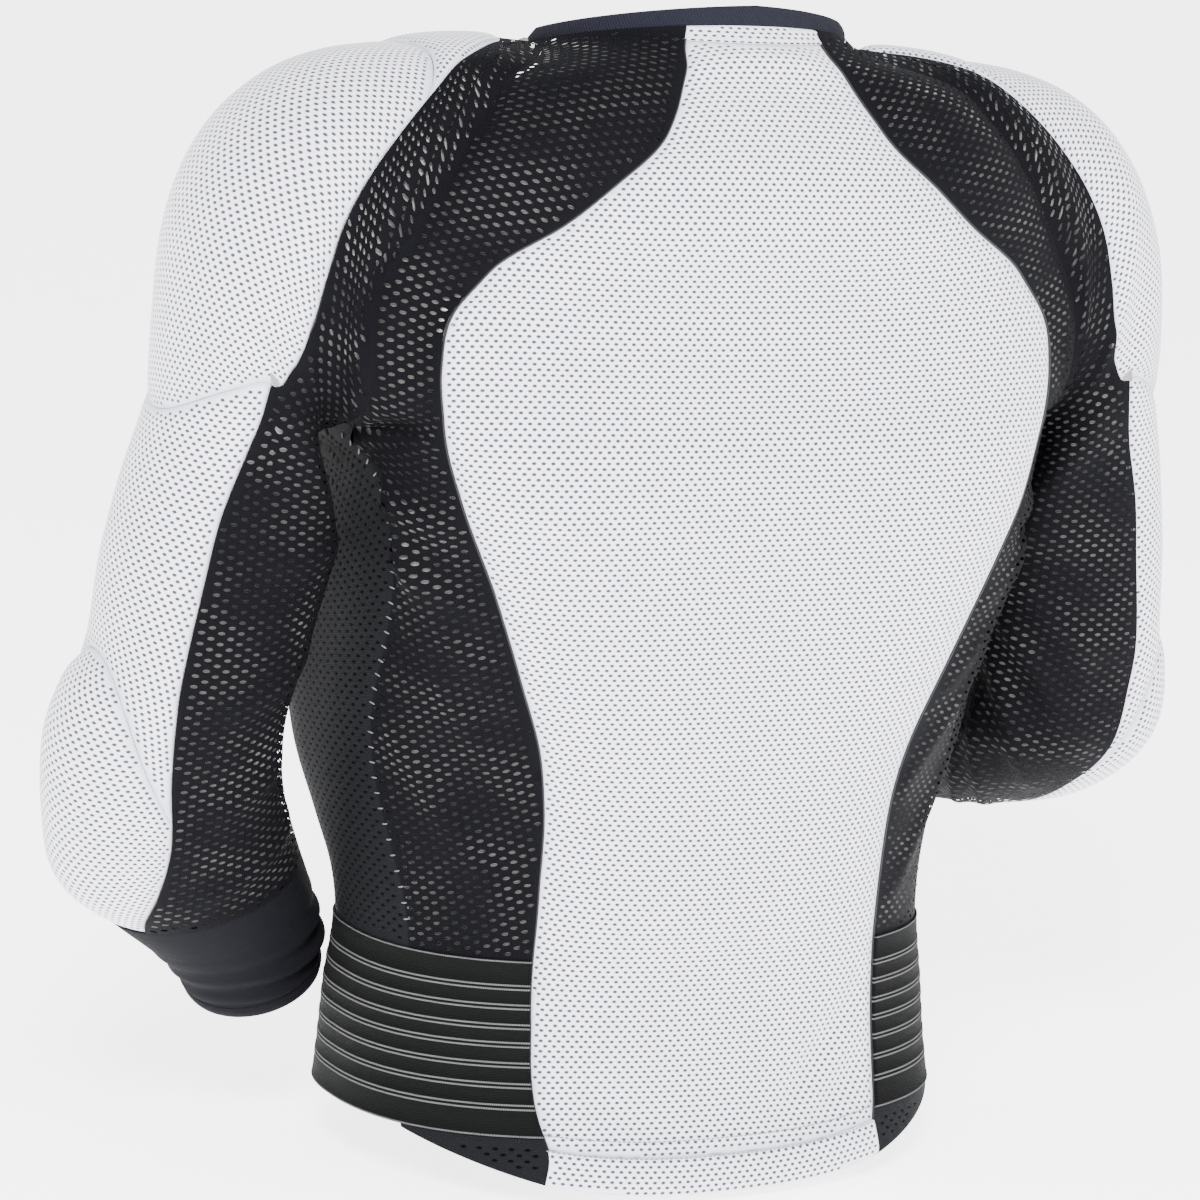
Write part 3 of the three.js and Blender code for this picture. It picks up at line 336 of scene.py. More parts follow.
def sleeve_point(table, at, around):
    at, around = np.broadcast_arrays(np.asarray(at, float), np.asarray(around, float))
    miss = body_point(*armhole_seam(around)) - ring_point(table, np.zeros_like(at), around)
    share = np.clip(at / SEAM_REACH, 0, 1)
    return ring_point(table, at, around) + miss * ((1 - share) ** 2 * (1 + 2 * share))[..., None]


def sleeve_edge(table, at):
    at = np.asarray(at, float)
    return np.radians(np.where(at < PAD_START[1] - 1e-6, 0, column(table, "edge", at, None)))


def mix(a, b, share):
    return a + (b - a) * share


def smooth_step(value, low, high):
    t = np.clip((value - low) / (high - low), 0, 1)
    return t * t * (3 - 2 * t)


def patch(top, bottom, first, last, u, v):
    """Smooth patch between four borders, each a function of a share that gives points."""
    u3, v3 = u[..., None], v[..., None]
    zero, one = np.zeros(1), np.ones(1)
    upper, lower = mix(top(zero), top(one), u3), mix(bottom(zero), bottom(one), u3)
    return mix(first(v), last(v), u3) + mix(top(u), bottom(u), v3) - mix(upper, lower, v3)


def shares(across, along):
    """Grids of the shares u and v over a panel."""
    return np.meshgrid(np.linspace(0, 1, across), np.linspace(0, 1, along), indexing="ij")


def unit(vectors):
    return vectors / np.maximum(np.linalg.norm(vectors, axis=-1, keepdims=True), 1e-12)


def grid_faces(u_count, v_count):
    """Triangles over a grid whose points are numbered u first."""
    number = np.arange(u_count * v_count).reshape(u_count, v_count)
    a, b, c, d = (k.ravel() for k in (number[:-1, :-1], number[1:, :-1], number[1:, 1:], number[:-1, 1:]))
    return np.concatenate([np.stack([a, b, c], 1), np.stack([a, c, d], 1)])


def unrolled(points, down=None, steps=12):
    """Flat coordinates of a grid of points, as its panel was cut: near to the cloth's own lengths.

    Triangles keep their shape as well as they can. down is the direction that becomes the
    second coordinate, or None for the grid's own second direction."""
    faces = grid_faces(*points.shape[:2])
    place = points.reshape(-1, 3)
    one, two = place[faces[:, 1]] - place[faces[:, 0]], place[faces[:, 2]] - place[faces[:, 0]]
    first = unit(one)
    along = (two * first).sum(-1)
    aside = two - along[:, None] * first
    second = unit(aside)
    height = np.maximum(np.linalg.norm(aside, axis=1), 1e-3)
    local = np.zeros((len(faces), 3, 2))
    local[:, 1, 0], local[:, 2, 0], local[:, 2, 1] = np.linalg.norm(one, axis=1), along, height
    sides = []
    for k in range(3):
        i, j, other = k, (k + 1) % 3, (k + 2) % 3
        p, q = local[:, i] - local[:, other], local[:, j] - local[:, other]
        cross = np.abs(p[:, 0] * q[:, 1] - p[:, 1] * q[:, 0])
        weight = np.clip((p * q).sum(-1) / np.maximum(cross, 1e-3), 0.05, 20)
        sides.append((faces[:, i], faces[:, j], weight, local[:, i] - local[:, j]))
    size = len(place)
    matrix = np.zeros((size, size))
    for i, j, weight, _ in sides:
        for a, b, sign in ((i, i, 1), (j, j, 1), (i, j, -1), (j, i, -1)):
            np.add.at(matrix, (a, b), sign * weight)
    matrix[0, 0] += 1
    inverse = np.linalg.inv(matrix)
    step_u = np.linalg.norm(np.diff(points, axis=0), axis=-1).mean()
    step_v = np.linalg.norm(np.diff(points, axis=1), axis=-1).mean()
    number_u, number_v = np.meshgrid(*(np.arange(k) for k in points.shape[:2]), indexing="ij")
    flat = np.stack([number_u * step_u, number_v * step_v], -1).reshape(-1, 2).astype(float)
    for _ in range(steps):
        fit = sum(weight[:, None, None] * (flat[i] - flat[j])[:, :, None] * edge[:, None, :]
                  for i, j, weight, edge in sides)
        angle = np.arctan2(fit[:, 1, 0] - fit[:, 0, 1], fit[:, 0, 0] + fit[:, 1, 1])
        turn = np.stack([np.cos(angle), -np.sin(angle), np.sin(angle), np.cos(angle)], -1).reshape(-1, 2, 2)
        wanted = np.zeros_like(flat)
        for i, j, weight, edge in sides:
            pull = weight[:, None] * np.einsum("nij,nj->ni", turn, edge)
            np.add.at(wanted, i, pull)
            np.add.at(wanted, j, -pull)
        flat = inverse @ wanted
    if down is None:
        grid = flat.reshape(*points.shape[:2], 2)
        heading = (grid[:, -1] - grid[:, 0]).sum(0)
    else:
        seen = np.stack([first @ np.array(down), second @ np.array(down)], -1)
        area = local[:, 1, 0] * height
        heading = (np.einsum("nij,nj->ni", turn, seen) * area[:, None]).sum(0)
    x, y = heading / np.linalg.norm(heading)
    flat = flat @ np.array([(y, x), (-x, y)])
    return flat.reshape(*points.shape[:2], 2)


class Cloth:
    """A panel as a fine grid of points, its outward normals and its flat coordinates."""

    def __init__(self, points, facing=1, down=None, flat=None):
        self.points, self.facing = points, facing
        self.u_count, self.v_count = points.shape[:2]
        along_u, along_v = np.gradient(points, axis=0), np.gradient(points, axis=1)
        self.normals = unit(np.cross(along_u, along_v)) * facing
        self.flat = flat
        if flat is None:
            few = [np.linspace(0, count - 1, min(count, most)).round().astype(int)
                   for count, most in zip(points.shape, (25, 41))]
            rough = unrolled(points[np.ix_(*few)], down)
            steps = (np.linalg.norm(np.diff(points, axis=k), axis=-1) for k in (0, 1))
            long_u, long_v = (np.insert(np.cumsum(step, k), 0, 0, k) for k, step in enumerate(steps))
            rows = np.stack([[np.interp(long_u[:, row], long_u[few[0], row], rough[:, k, c])
                              for k, row in enumerate(few[1])] for c in (0, 1)])
            self.flat = np.stack([[np.interp(long_v[k], long_v[k, few[1]], rows[c, :, k])
                                   for k in range(self.u_count)] for c in (0, 1)], -1)

    def raised(self, height):
        """The cloth moved out along its normals, with the same flat coordinates."""
        return Cloth(self.points + self.normals * height[..., None], self.facing, flat=self.flat)

    def folded(self, folds, free=(0.1, 0.05)):
        """The cloth with soft folds, which fade out over the free shares next to its borders.

        Each fold is (u, v, u, v, width, height): its ends in shares, and millimetres."""
        u, v = shares(self.u_count, self.v_count)
        height = np.zeros_like(u)
        for u0, v0, u1, v1, width, high in folds:
            ends = self.at(self.flat, np.array([u0, u1]), np.array([v0, v1]))
            line = ends[1] - ends[0]
            length = np.linalg.norm(line)
            gap = self.flat - ends[0]
            way = (gap @ line) / length ** 2
            off = (gap[..., 0] * line[1] - gap[..., 1] * line[0]) / length
            taper = np.sin(math.pi * np.clip(way, 0, 1)) ** 0.8
            height += high * taper * np.exp(-(off / width) ** 2)
        rim = smooth_step(np.minimum(u, 1 - u), 0, free[0]) * smooth_step(np.minimum(v, 1 - v), 0, free[1])
        return self.raised(height * rim)

    def at(self, field, u, v):
        """Value of a grid field at shares u and v."""
        x = np.clip(u, 0, 1) * (self.u_count - 1)
        y = np.clip(v, 0, 1) * (self.v_count - 1)
        i = np.minimum(x.astype(int), self.u_count - 2)
        j = np.minimum(y.astype(int), self.v_count - 2)
        shape = x.shape + (1,) * (field.ndim - 2)
        a, b = (x - i).reshape(shape), (y - j).reshape(shape)
        return ((field[i, j] * (1 - a) + field[i + 1, j] * a) * (1 - b)
                + (field[i, j + 1] * (1 - a) + field[i + 1, j + 1] * a) * b)

    def shares_of(self, flat):
        """Shares u and v of flat coordinates."""
        faces = grid_faces(self.u_count, self.v_count)
        corners = self.flat.reshape(-1, 2)
        spots = np.concatenate([corners, np.zeros((len(corners), 1))], 1)
        tree = bvhtree.BVHTree.FromPolygons(spots.tolist(), faces.tolist())
        found = np.array([tree.find_nearest((s, t, 0))[2] for s, t in flat])
        p, q, r = (corners[faces[found, k]] for k in range(3))
        one, two, gap = q - p, r - p, flat - p
        det = one[:, 0] * two[:, 1] - one[:, 1] * two[:, 0]
        det = np.where(np.abs(det) < 1e-9, 1e-9, det)
        x = np.clip((gap[:, 0] * two[:, 1] - gap[:, 1] * two[:, 0]) / det, 0, 1)
        y = np.clip((one[:, 0] * gap[:, 1] - one[:, 1] * gap[:, 0]) / det, 0, 1)
        share = [np.stack(np.divmod(faces[found, k], self.v_count), 1) for k in range(3)]
        place = share[0] + x[:, None] * (share[1] - share[0]) + y[:, None] * (share[2] - share[0])
        return place[:, 0] / (self.u_count - 1), place[:, 1] / (self.v_count - 1)

    def line(self, start, end, spacing, count=400):
        """Shares of evenly spaced points from one place to another, without the last one."""
        fine = np.linspace(0, 1, count)
        u, v = mix(start[0], end[0], fine), mix(start[1], end[1], fine)
        places = self.at(self.points, u, v)
        length = np.concatenate([[0], np.cumsum(np.linalg.norm(np.diff(places, axis=0), axis=1))])
        if length[-1] < 0.5:
            return np.zeros((0, 2))
        number = max(int(length[-1] / spacing), 1)
        share = np.interp(np.linspace(0, length[-1], number + 1)[:-1], length, fine)
        return np.stack([mix(start[0], end[0], share), mix(start[1], end[1], share)], 1)

    def border(self, spacing=3.0):
        """Shares u and v of points along the panel's border, in order."""
        corners = [(0, 0), (1, 0), (1, 1), (0, 1), (0, 0)]
        return np.concatenate([self.line(a, b, spacing) for a, b in zip(corners, corners[1:])])

    def seam_distance(self):
        """How far each grid point lies from the border, in flat millimetres."""
        edge = self.border(6.0)
        outline = self.at(self.flat, edge[:, 0], edge[:, 1])
        return distance(self.flat.reshape(-1, 2), outline).reshape(self.u_count, self.v_count)

    def flat_facts(self):
        """Width, length and area of the cut that the panel is made from, in metres.

        The sizes are those of the smallest rectangle that the cut fits in. A bent strip, which
        fills too little of it, has its mean width and its length along the middle instead."""
        edge = self.border()
        outline = self.at(self.flat, edge[:, 0], edge[:, 1]) * MM
        after = np.roll(outline, -1, axis=0)
        area = abs((outline[:, 0] * after[:, 1] - outline[:, 1] * after[:, 0]).sum()) / 2
        sizes = []
        for angle in np.radians(np.arange(0, 90, 1)):
            across, along = math.cos(angle), math.sin(angle)
            turned = outline @ np.array([(across, -along), (along, across)])
            sizes.append(turned.max(0) - turned.min(0))
        width, length = sorted(min(sizes, key=np.prod))
        if area < 0.32 * width * length:
            length = max(np.linalg.norm(np.diff(line, axis=0), axis=1).sum() * MM
                         for line in (self.flat[self.u_count // 2], self.flat[:, self.v_count // 2]))
            width = area / length
        return float(width), float(length), float(area)


def lattice(low, high, pitch, row_step):
    """Staggered points over a rectangle."""
    first, last = math.floor(low[1] / row_step), math.ceil(high[1] / row_step)
    points = []
    for row in range(first, last + 1):
        start = 0.5 * pitch * (row % 2)
        count = np.arange(math.floor((low[0] - start) / pitch), math.ceil((high[0] - start) / pitch) + 1)
        points.append(np.stack([start + count * pitch, np.full(len(count), row * row_step)], 1))
    return np.concatenate(points)


def pierced(cloth, pitch, row_step, size, corners, margin, filled):
    """Triangles of a panel with a lattice of small holes, or of dimples where filled is true.

    Returns shares u and v, triangles, for each point 0 on the cloth, 1 on a rim and 2 in a
    dimple's middle, and the border points in order."""
    edge = cloth.border()
    edge_flat = cloth.at(cloth.flat, edge[:, 0], edge[:, 1])
    spots = lattice(edge_flat.min(0), edge_flat.max(0), pitch, row_step)
    spots = spots[inside(spots, edge_flat) & (distance(spots, edge_flat) > margin)]
    angles = np.arange(corners) / corners * 2 * math.pi
    rim = np.stack([np.cos(angles) * size[0] / 2, np.sin(angles) * size[1] / 2], 1)
    rims = (spots[:, None, :] + rim[None]).reshape(-1, 2)
    flat = np.concatenate([edge_flat, rims])
    count = len(edge_flat)
    edges = [(k, (k + 1) % count) for k in range(count)]
    for hole in range(len(spots)):
        start = count + hole * corners
        edges += [(start + k, start + (k + 1) % corners) for k in range(corners)]
    made = geometry.delaunay_2d_cdt([Vector(p) for p in flat.tolist()], edges, [], 0, 1e-5, True)
    new_flat = np.array([(p.x, p.y) for p in made[0]])
    faces = np.array(made[2])
    source = np.array([ids[0] if ids else -1 for ids in made[3]])
    hole_of = np.where(source >= count, (source - count) // corners, -1)
    same = (hole_of[faces[:, 0]] >= 0) & (hole_of[faces[:, 0]] == hole_of[faces[:, 1]])
    same &= hole_of[faces[:, 1]] == hole_of[faces[:, 2]]
    faces = faces[~same & inside(new_flat[faces].mean(1), edge_flat)]
    u, v = cloth.shares_of(new_flat)
    on_edge = (source >= 0) & (source < count)
    u[on_edge], v[on_edge] = edge[source[on_edge], 0], edge[source[on_edge], 1]
    kind = (hole_of >= 0).astype(float)
    order = {int(number): at for at, number in enumerate(source) if number >= 0}
    border = np.array([order[k] for k in range(count) if k in order])
    if filled and len(spots):
        middle_u, middle_v = cloth.shares_of(spots)
        start = len(u)
        u, v = np.concatenate([u, middle_u]), np.concatenate([v, middle_v])
        kind = np.concatenate([kind, np.full(len(spots), 2.0)])
        fans = []
        for hole in range(len(spots)):
            ring = [order.get(count + hole * corners + k) for k in range(corners)]
            if None not in ring:
                fans += [(ring[k], ring[(k + 1) % corners], start + hole) for k in range(corners)]
        faces = np.concatenate([faces, np.array(fans)])
    return u, v, faces, kind, border


def inside(points, polygon):
    """Which points lie inside a closed polygon."""
    result = np.zeros(len(points), bool)
    for a, b in zip(polygon, np.roll(polygon, -1, axis=0)):
        if a[1] == b[1]:
            continue
        crosses = (a[1] > points[:, 1]) != (b[1] > points[:, 1])
        x = a[0] + (points[:, 1] - a[1]) * (b[0] - a[0]) / (b[1] - a[1])
        result ^= crosses & (points[:, 0] < x)
    return result


def distance(points, polygon):
    """Distance from each point to a closed polygon's nearest side."""
    best = np.full(len(points), 1e9)
    for a, b in zip(polygon, np.roll(polygon, -1, axis=0)):
        side = b - a
        share = np.clip(((points - a) @ side) / max(side @ side, 1e-12), 0, 1)
        best = np.minimum(best, np.linalg.norm(points - a - share[:, None] * side, axis=1))
    return best


def add_mesh(name, points, faces, flat=None, fields=None):
    """A smooth-shaded mesh of triangles. points are in millimetres; flat becomes a UV map in metres."""
    mesh = bpy.data.meshes.new(name)
    points, faces = np.asarray(points, float) * MM, np.asarray(faces)
    mesh.vertices.add(len(points))
    mesh.vertices.foreach_set("co", points.ravel())
    mesh.loops.add(faces.size)
    mesh.loops.foreach_set("vertex_index", faces.ravel())
    mesh.polygons.add(len(faces))
    mesh.polygons.foreach_set("loop_start", np.arange(len(faces)) * 3)
    mesh.update(calc_edges=True)
    mesh.polygons.foreach_set("use_smooth", np.ones(len(mesh.polygons), bool))
    if flat is not None:
        layer = mesh.uv_layers.new(name="flat")
        layer.data.foreach_set("uv", (np.asarray(flat)[faces.ravel()] * MM).ravel())
    for field, values in (fields or {}).items():
        mesh.attributes.new(field, "FLOAT", "POINT").data.foreach_set("value", np.asarray(values, float))
    obj = bpy.data.objects.new(name, mesh)
    bpy.context.scene.collection.objects.link(obj)
    return obj


PAD_ROUND = math.acos(BACK_PAD_HALF * float(column(BACK_EDGE, "half", 0)) / NECK_HALF)
EDGE_TOP_Z = float(neckline(PAD_ROUND)[2])
PLACKET_ROUND = -math.acos(PLACKET_HALF / NECK_HALF)
PLACKET_TOP_Z = float(neckline(PLACKET_ROUND)[2])
DOWN = (0, 0, -1)
UPPER_SHARE = 0.56  # of a net's height, above the underarm


def net_points(u, v, edge_turn, start_round, start_z, half):
    """Net between an edge line and the armhole seam, then down to the side seam."""
    up = np.clip(v / UPPER_SHARE, 0, 1)
    low_z = mix(UNDERARM_Z, WAIST_Z, np.clip((v - UPPER_SHARE) / (1 - UPPER_SHARE), 0, 1))

    def first(share):
        z = mix(start_z, UNDERARM_Z, share)
        return body_point(edge_turn(z), z)

    high = patch(
        lambda share: neckline(mix(start_round, 0, share)),
        lambda share: body_point(mix(edge_turn(UNDERARM_Z), 0, share), UNDERARM_Z),
        first, lambda share: body_point(*armhole_seam(half * math.pi * share)), u, up)
    high = mix(high, onto_body(high), smooth_step(up, 0.15, 0.55)[..., None])
    low = body_point(mix(edge_turn(low_z), side_seam(low_z), u), low_z)
    return np.where((v < UPPER_SHARE)[..., None], high, low)


def back_net():
    u, v = shares(80, 180)
    return Cloth(net_points(u, v, pad_edge, PAD_ROUND, EDGE_TOP_Z, 1), 1, DOWN)


def front_net():
    u, v = shares(80, 150)
    points = net_points(u, v, lambda z: -turn_at(PLACKET_HALF, z), PLACKET_ROUND, PLACKET_TOP_Z, -1)
    return Cloth(points, -1, DOWN)


def swell(u, v):
    """1 in the middle of a pad and 0 at its borders."""
    return (1 - np.abs(2 * u - 1) ** 4) * (1 - np.abs(2 * v - 1) ** 4)


def hem_dip(z, u):
    depth = np.clip((WAIST_Z - z) / (WAIST_Z + BACK_LENGTH), 0, 1)
    return HEM_DIP * depth * (1 - (2 * u - 1) ** 2)


def back_points(z, u):
    edge = pad_edge(z)
    points = body_point(mix(edge, math.pi - edge, u), z)
    points[..., 2] -= hem_dip(z, u)
    return points


def back_pad():
    u, v = shares(120, 220)
    z = mix(EDGE_TOP_Z - NECK_STRIP_HEIGHT, PAD_BOTTOM_Z, v)
    return Cloth(back_points(z, u), -1, DOWN).raised(BACK_PAD_CROWN * swell(u, v))


def back_hem():
    u, v = shares(120, 24)
    bulge = 1.6 * np.sin(math.pi * v) ** 0.6
    return Cloth(back_points(mix(PAD_BOTTOM_Z, -BACK_LENGTH, v), u), -1).raised(bulge)


def neck_strip():
    u, v = shares(60, 12)
    low_z = EDGE_TOP_Z - NECK_STRIP_HEIGHT
    edge = pad_edge(low_z)
    low = body_point(mix(edge, math.pi - edge, u), low_z)
    return Cloth(mix(neckline(mix(PAD_ROUND, math.pi - PAD_ROUND, u)), low, v[..., None]), -1)


def body_band(start, end, top_z, low_z, across, along):
    u, v = shares(across, along)
    z = mix(top_z, low_z, v)
    return Cloth(body_point(mix(start(z), end(z), u), z))


def hem_net():
    u, v = shares(60, 20)
    low_z = mix(-BACK_LENGTH, BELT_BOTTOM_Z, HEM_NET_TAPER * u)
    z = mix(BELT_BOTTOM_Z, low_z, v)
    return Cloth(body_point(pad_edge(z) - math.radians(HEM_NET_TURN) * u, z), 1, DOWN)


def sleeve_net(table):
    u, v = shares(120, 200)
    at = v * PAD_END[1]
    edge = sleeve_edge(table, at)
    first = mix(edge, math.pi, np.clip(2 * u, 0, 1))
    last = mix(math.pi, 2 * math.pi - edge * FRONT_EDGE_SHARE, np.clip(2 * u - 1, 0, 1))
    return Cloth(sleeve_point(table, at, np.where(u < 0.5, first, last)), -1)


def sleeve_pad(table, start, end):
    u, v = shares(70, 80)
    edge_at = mix(start[1], end[1], v)
    side = 2 * u - 1
    at = mix(mix(start[0], end[0], v), edge_at, side ** 2)
    around = side * sleeve_edge(table, edge_at) * np.where(side < 0, FRONT_EDGE_SHARE, 1)
    return Cloth(sleeve_point(table, at, around), -1).raised(SLEEVE_PAD_CROWN * swell(u, v))


def sleeve_tube(table, start, end, along):
    u, v = shares(129, along)
    return Cloth(sleeve_point(table, mix(start, end, v), 2 * math.pi * u), -1)


# Materials. Each is built from nodes over the flat coordinates, which are in metres.
class Look:
    """A material under construction."""

    def __init__(self, name, roughness, specular=0.3, sheen=0.0, sheen_roughness=0.4):
        self.material = bpy.data.materials.new(name)
        self.material.use_nodes = True
        self.nodes = self.material.node_tree.nodes
        self.links = self.material.node_tree.links
        self.shader = self.nodes["Principled BSDF"]
        self.shader.inputs["Roughness"].default_value = roughness
        self.shader.inputs["Specular IOR Level"].default_value = specular
        self.shader.inputs["Sheen Weight"].default_value = sheen
        self.shader.inputs["Sheen Roughness"].default_value = sheen_roughness
        flat = self.node("UVMap")
        flat.uv_map = "flat"
        self.flat = flat.outputs[0]
        self.place = self.node("TexCoord").outputs["Object"]

    def node(self, kind, **values):
        made = self.nodes.new("ShaderNode" + kind)
        for key, value in values.items():
            setattr(made, key, value)
        return made

    def feed(self, socket, value):
        if isinstance(value, bpy.types.NodeSocket):
            self.links.new(value, socket)
        else:
            socket.default_value = value

    def math(self, operation, a, b=0.0, clamp=False):
        made = self.node("Math", operation=operation, use_clamp=clamp)
        self.feed(made.inputs[0], a)
        self.feed(made.inputs[1], b)
        return made.outputs[0]

    def times(self, a, b, clamp=False):
        return self.math("MULTIPLY", a, b, clamp)

    def field(self, name):
        return self.node("Attribute", attribute_name=name).outputs["Fac"]

    def dimples(self):
        """1 in a dimple's middle and 0 outside it."""
        return self.times(self.math("SUBTRACT", self.field("dot"), 1.0, True), 3.0, True)

    def blend(self, share, first, second):
        made = self.node("Mix", data_type="RGBA")
        self.feed(made.inputs["Factor"], share)
        for socket, value in ((made.inputs[6], first), (made.inputs[7], second)):
            self.feed(socket, value if isinstance(value, bpy.types.NodeSocket) else (*value, 1))
        return made.outputs[2]

    def ribs(self, period, angle=0.0, wobble=0.0):
        """Waves over the flat cloth, from 0 to 1. period is in metres, angle in degrees."""
        turned = self.node("Mapping")
        self.links.new(self.flat, turned.inputs["Vector"])
        turned.inputs["Rotation"].default_value[2] = math.radians(angle)
        wave = self.node("TexWave", wave_profile="SIN")
        self.links.new(turned.outputs[0], wave.inputs["Vector"])
        wave.inputs["Scale"].default_value = 0.314 / period
        wave.inputs["Distortion"].default_value = wobble
        wave.inputs["Detail"].default_value = 1
        return wave.outputs["Fac"]

    def cloud(self, size, detail=3.0, stretch=(1, 1, 1)):
        """Noise over the piece's place, from 0 to 1. size is in metres."""
        turned = self.node("Mapping")
        self.links.new(self.place, turned.inputs["Vector"])
        turned.inputs["Scale"].default_value = stretch
        noise = self.node("TexNoise")
        self.links.new(turned.outputs[0], noise.inputs["Vector"])
        noise.inputs["Scale"].default_value = 1 / size
        noise.inputs["Detail"].default_value = detail
        return noise.outputs["Fac"]

    def slots(self, pitch, row_step, gap):
        """Staggered slots over the flat cloth: 1 in a slot and 0 between them, sizes in metres."""
        brick = self.node("TexBrick", offset=0.5, squash=1.0)
        self.links.new(self.flat, brick.inputs["Vector"])
        brick.inputs["Scale"].default_value = 1.0
        brick.inputs["Brick Width"].default_value = pitch
        brick.inputs["Row Height"].default_value = row_step
        brick.inputs["Mortar Size"].default_value = gap
        brick.inputs["Mortar Smooth"].default_value = 0.6
        return self.math("SUBTRACT", 1.0, brick.outputs["Fac"])

    def colour(self, value):
        self.feed(self.shader.inputs["Base Color"], value)

    def bump(self, height, distance, strength=1.0):
        made = self.node("Bump")
        self.feed(made.inputs["Height"], height)
        made.inputs["Distance"].default_value = distance
        made.inputs["Strength"].default_value = strength
        self.links.new(made.outputs[0], self.shader.inputs["Normal"])


def grey_mesh():
    """Pale spacer mesh: dark dimples, crossed diagonal threads, and painted shade towards the seams, where
    the pad dips.
    """
    look = Look("pale_spacer_mesh", 0.72, 0.25, 0.35, 0.45)
    threads = look.times(look.ribs(0.0012, 58), look.ribs(0.0012, -58))
    shade = look.times(look.cloud(0.05), 0.35)
    cloth = look.blend(shade, (0.84, 0.84, 0.9), (0.74, 0.745, 0.82))
    cloth = look.blend(look.times(threads, 0.3), cloth, (0.55, 0.56, 0.64))
    # Painted shade towards the seams, where the cover dips: darker and more lavender near them.
    cloth = look.blend(look.times(look.field("seam"), 0.55), cloth, (0.42, 0.43, 0.55))
    # The dimples' dark middles are partly the darker foam beneath and partly painted shade in their hollows.
    dark = look.dimples()
    look.colour(look.blend(dark, cloth, (0.045, 0.045, 0.062)))
    look.bump(look.math("SUBTRACT", 1.0, threads), 0.00025)
    return look.material


def knit_lining(name, dark):
    """Plain knit on the inner faces, in soft patches of painted light and shade."""
    look = Look(name, 0.85, 0.05, 0.02)
    ribs = look.ribs(0.0011, 90)
    cloud = look.cloud(0.045, 2.0, (1, 1, 1.6))
    # Painted light and shade: soft light and dark patches, stretched upwards.
    painted_light_patches = look.times(look.math("SUBTRACT", cloud, 0.42), 5.0, True)
    cloth = look.blend(painted_light_patches, (dark, dark, dark * 1.05), (0.36, 0.35, 0.33))
    look.colour(look.blend(look.times(ribs, 0.2), cloth, (0.12, 0.12, 0.12)))
    look.bump(ribs, 0.0002)
    return look.material


def black_net():
    """Black open net: fine knitted threads, faded a little in soft random patches."""
    look = Look("black_open_net", 0.62, 0.03, 0.01)
    knit = look.times(look.ribs(0.0008, 90, 0.6), look.ribs(0.00115, 0, 0.4))
    worn = look.times(look.cloud(0.03), 0.5)
    cloth = look.blend(worn, (0.0028, 0.0027, 0.0038), (0.0052, 0.005, 0.0068))
    cloth = look.blend(look.times(look.field("dot"), 0.5), cloth, (0.0012, 0.0012, 0.0018))
    look.colour(look.blend(look.times(knit, 0.4), cloth, (0.01, 0.01, 0.0124)))
    look.bump(knit, 0.0003)
    return look.material


def black_mesh():
    """Double black mesh over a slate backing, with closed dimples whose middles are darkened by painted
    shade.
    """
    look = Look("black_double_mesh", 0.6, 0.03, 0.01)
    knit = look.times(look.ribs(0.0009, 90, 0.5), look.ribs(0.0009, 0, 0.5))
    worn = look.times(look.cloud(0.03), 0.5)
    cloth = look.blend(worn, (0.0052, 0.0055, 0.0064), (0.0083, 0.0088, 0.0102))
    cloth = look.blend(look.times(knit, 0.35), cloth, (0.0143, 0.015, 0.0165))
    # Painted shade in the dimples' middles.
    look.colour(look.blend(look.dimples(), cloth, (0.0005, 0.0005, 0.0006)))
    look.bump(knit, 0.0003)
    return look.material


def black_knit():
    """Close dark knit with shallow staggered slots."""
    look = Look("black_close_knit", 0.68, 0.03, 0.01)
    slots = look.slots(0.0026, 0.0008, 0.0003)
    knit = look.ribs(0.0009, 90, 0.8)
    worn = look.times(look.cloud(0.025), 0.6)
    cloth = look.blend(worn, (0.0054, 0.0054, 0.0075), (0.0092, 0.0092, 0.0122))
    cloth = look.blend(look.times(knit, 0.3), cloth, (0.0153, 0.0153, 0.0190))
    look.colour(look.blend(look.times(slots, 0.55), cloth, (0.0020, 0.0020, 0.0031)))
    look.bump(look.math("SUBTRACT", look.times(knit, 0.3), slots), 0.0005)
    return look.material


def ribbed_binding():
    """Dark bluish ribbed binding."""
    look = Look("ribbed_binding", 0.6, 0.03, 0.01)
    ribs = look.times(look.ribs(0.0016, 20, 0.8), look.math("ADD", look.ribs(0.0007, 75, 0.4), 0.4))
    worn = look.times(look.cloud(0.02), 0.6)
    cloth = look.blend(worn, (0.0094, 0.0094, 0.0151), (0.0144, 0.0144, 0.0216))
    look.colour(look.blend(look.times(ribs, 0.5), cloth, (0.0306, 0.0306, 0.0432)))
    look.bump(ribs, 0.0006)
    return look.material


def belt_elastic():
    """Black woven elastic with pale double stripes where the field stripe is 1."""
    look = Look("striped_woven_elastic", 0.66, 0.03, 0.01)
    weft, warp = look.ribs(0.0009, 90, 0.3), look.ribs(0.0007, 0, 0.3)
    weave = look.times(weft, look.math("ADD", look.times(warp, 0.6), 0.4))
    worn = look.times(look.cloud(0.02), 0.6)
    cloth = look.blend(worn, (0.0029, 0.0031, 0.0031), (0.0048, 0.0051, 0.0048))
    cloth = look.blend(look.times(weave, 0.45), cloth, (0.0092, 0.0095, 0.0092))
    yarn = look.math("ADD", look.times(look.ribs(0.0013, 12, 2.5), 0.75), 0.3, True)
    yarn = look.times(yarn, look.math("POWER", look.field("stripe"), 0.8))
    look.colour(look.blend(look.times(yarn, 0.9, True), cloth, (0.15, 0.15, 0.15)))
    look.bump(look.math("ADD", weave, look.field("stripe")), 0.0003)
    return look.material


def thread(name, colour, pale):
    """Sewing thread with a fine twist."""
    look = Look(name, 0.6, 0.3, 0.2)
    twist = look.cloud(0.0012, 1.0)
    look.colour(look.blend(twist, colour, pale))
    look.bump(twist, 0.0002)
    return look.material


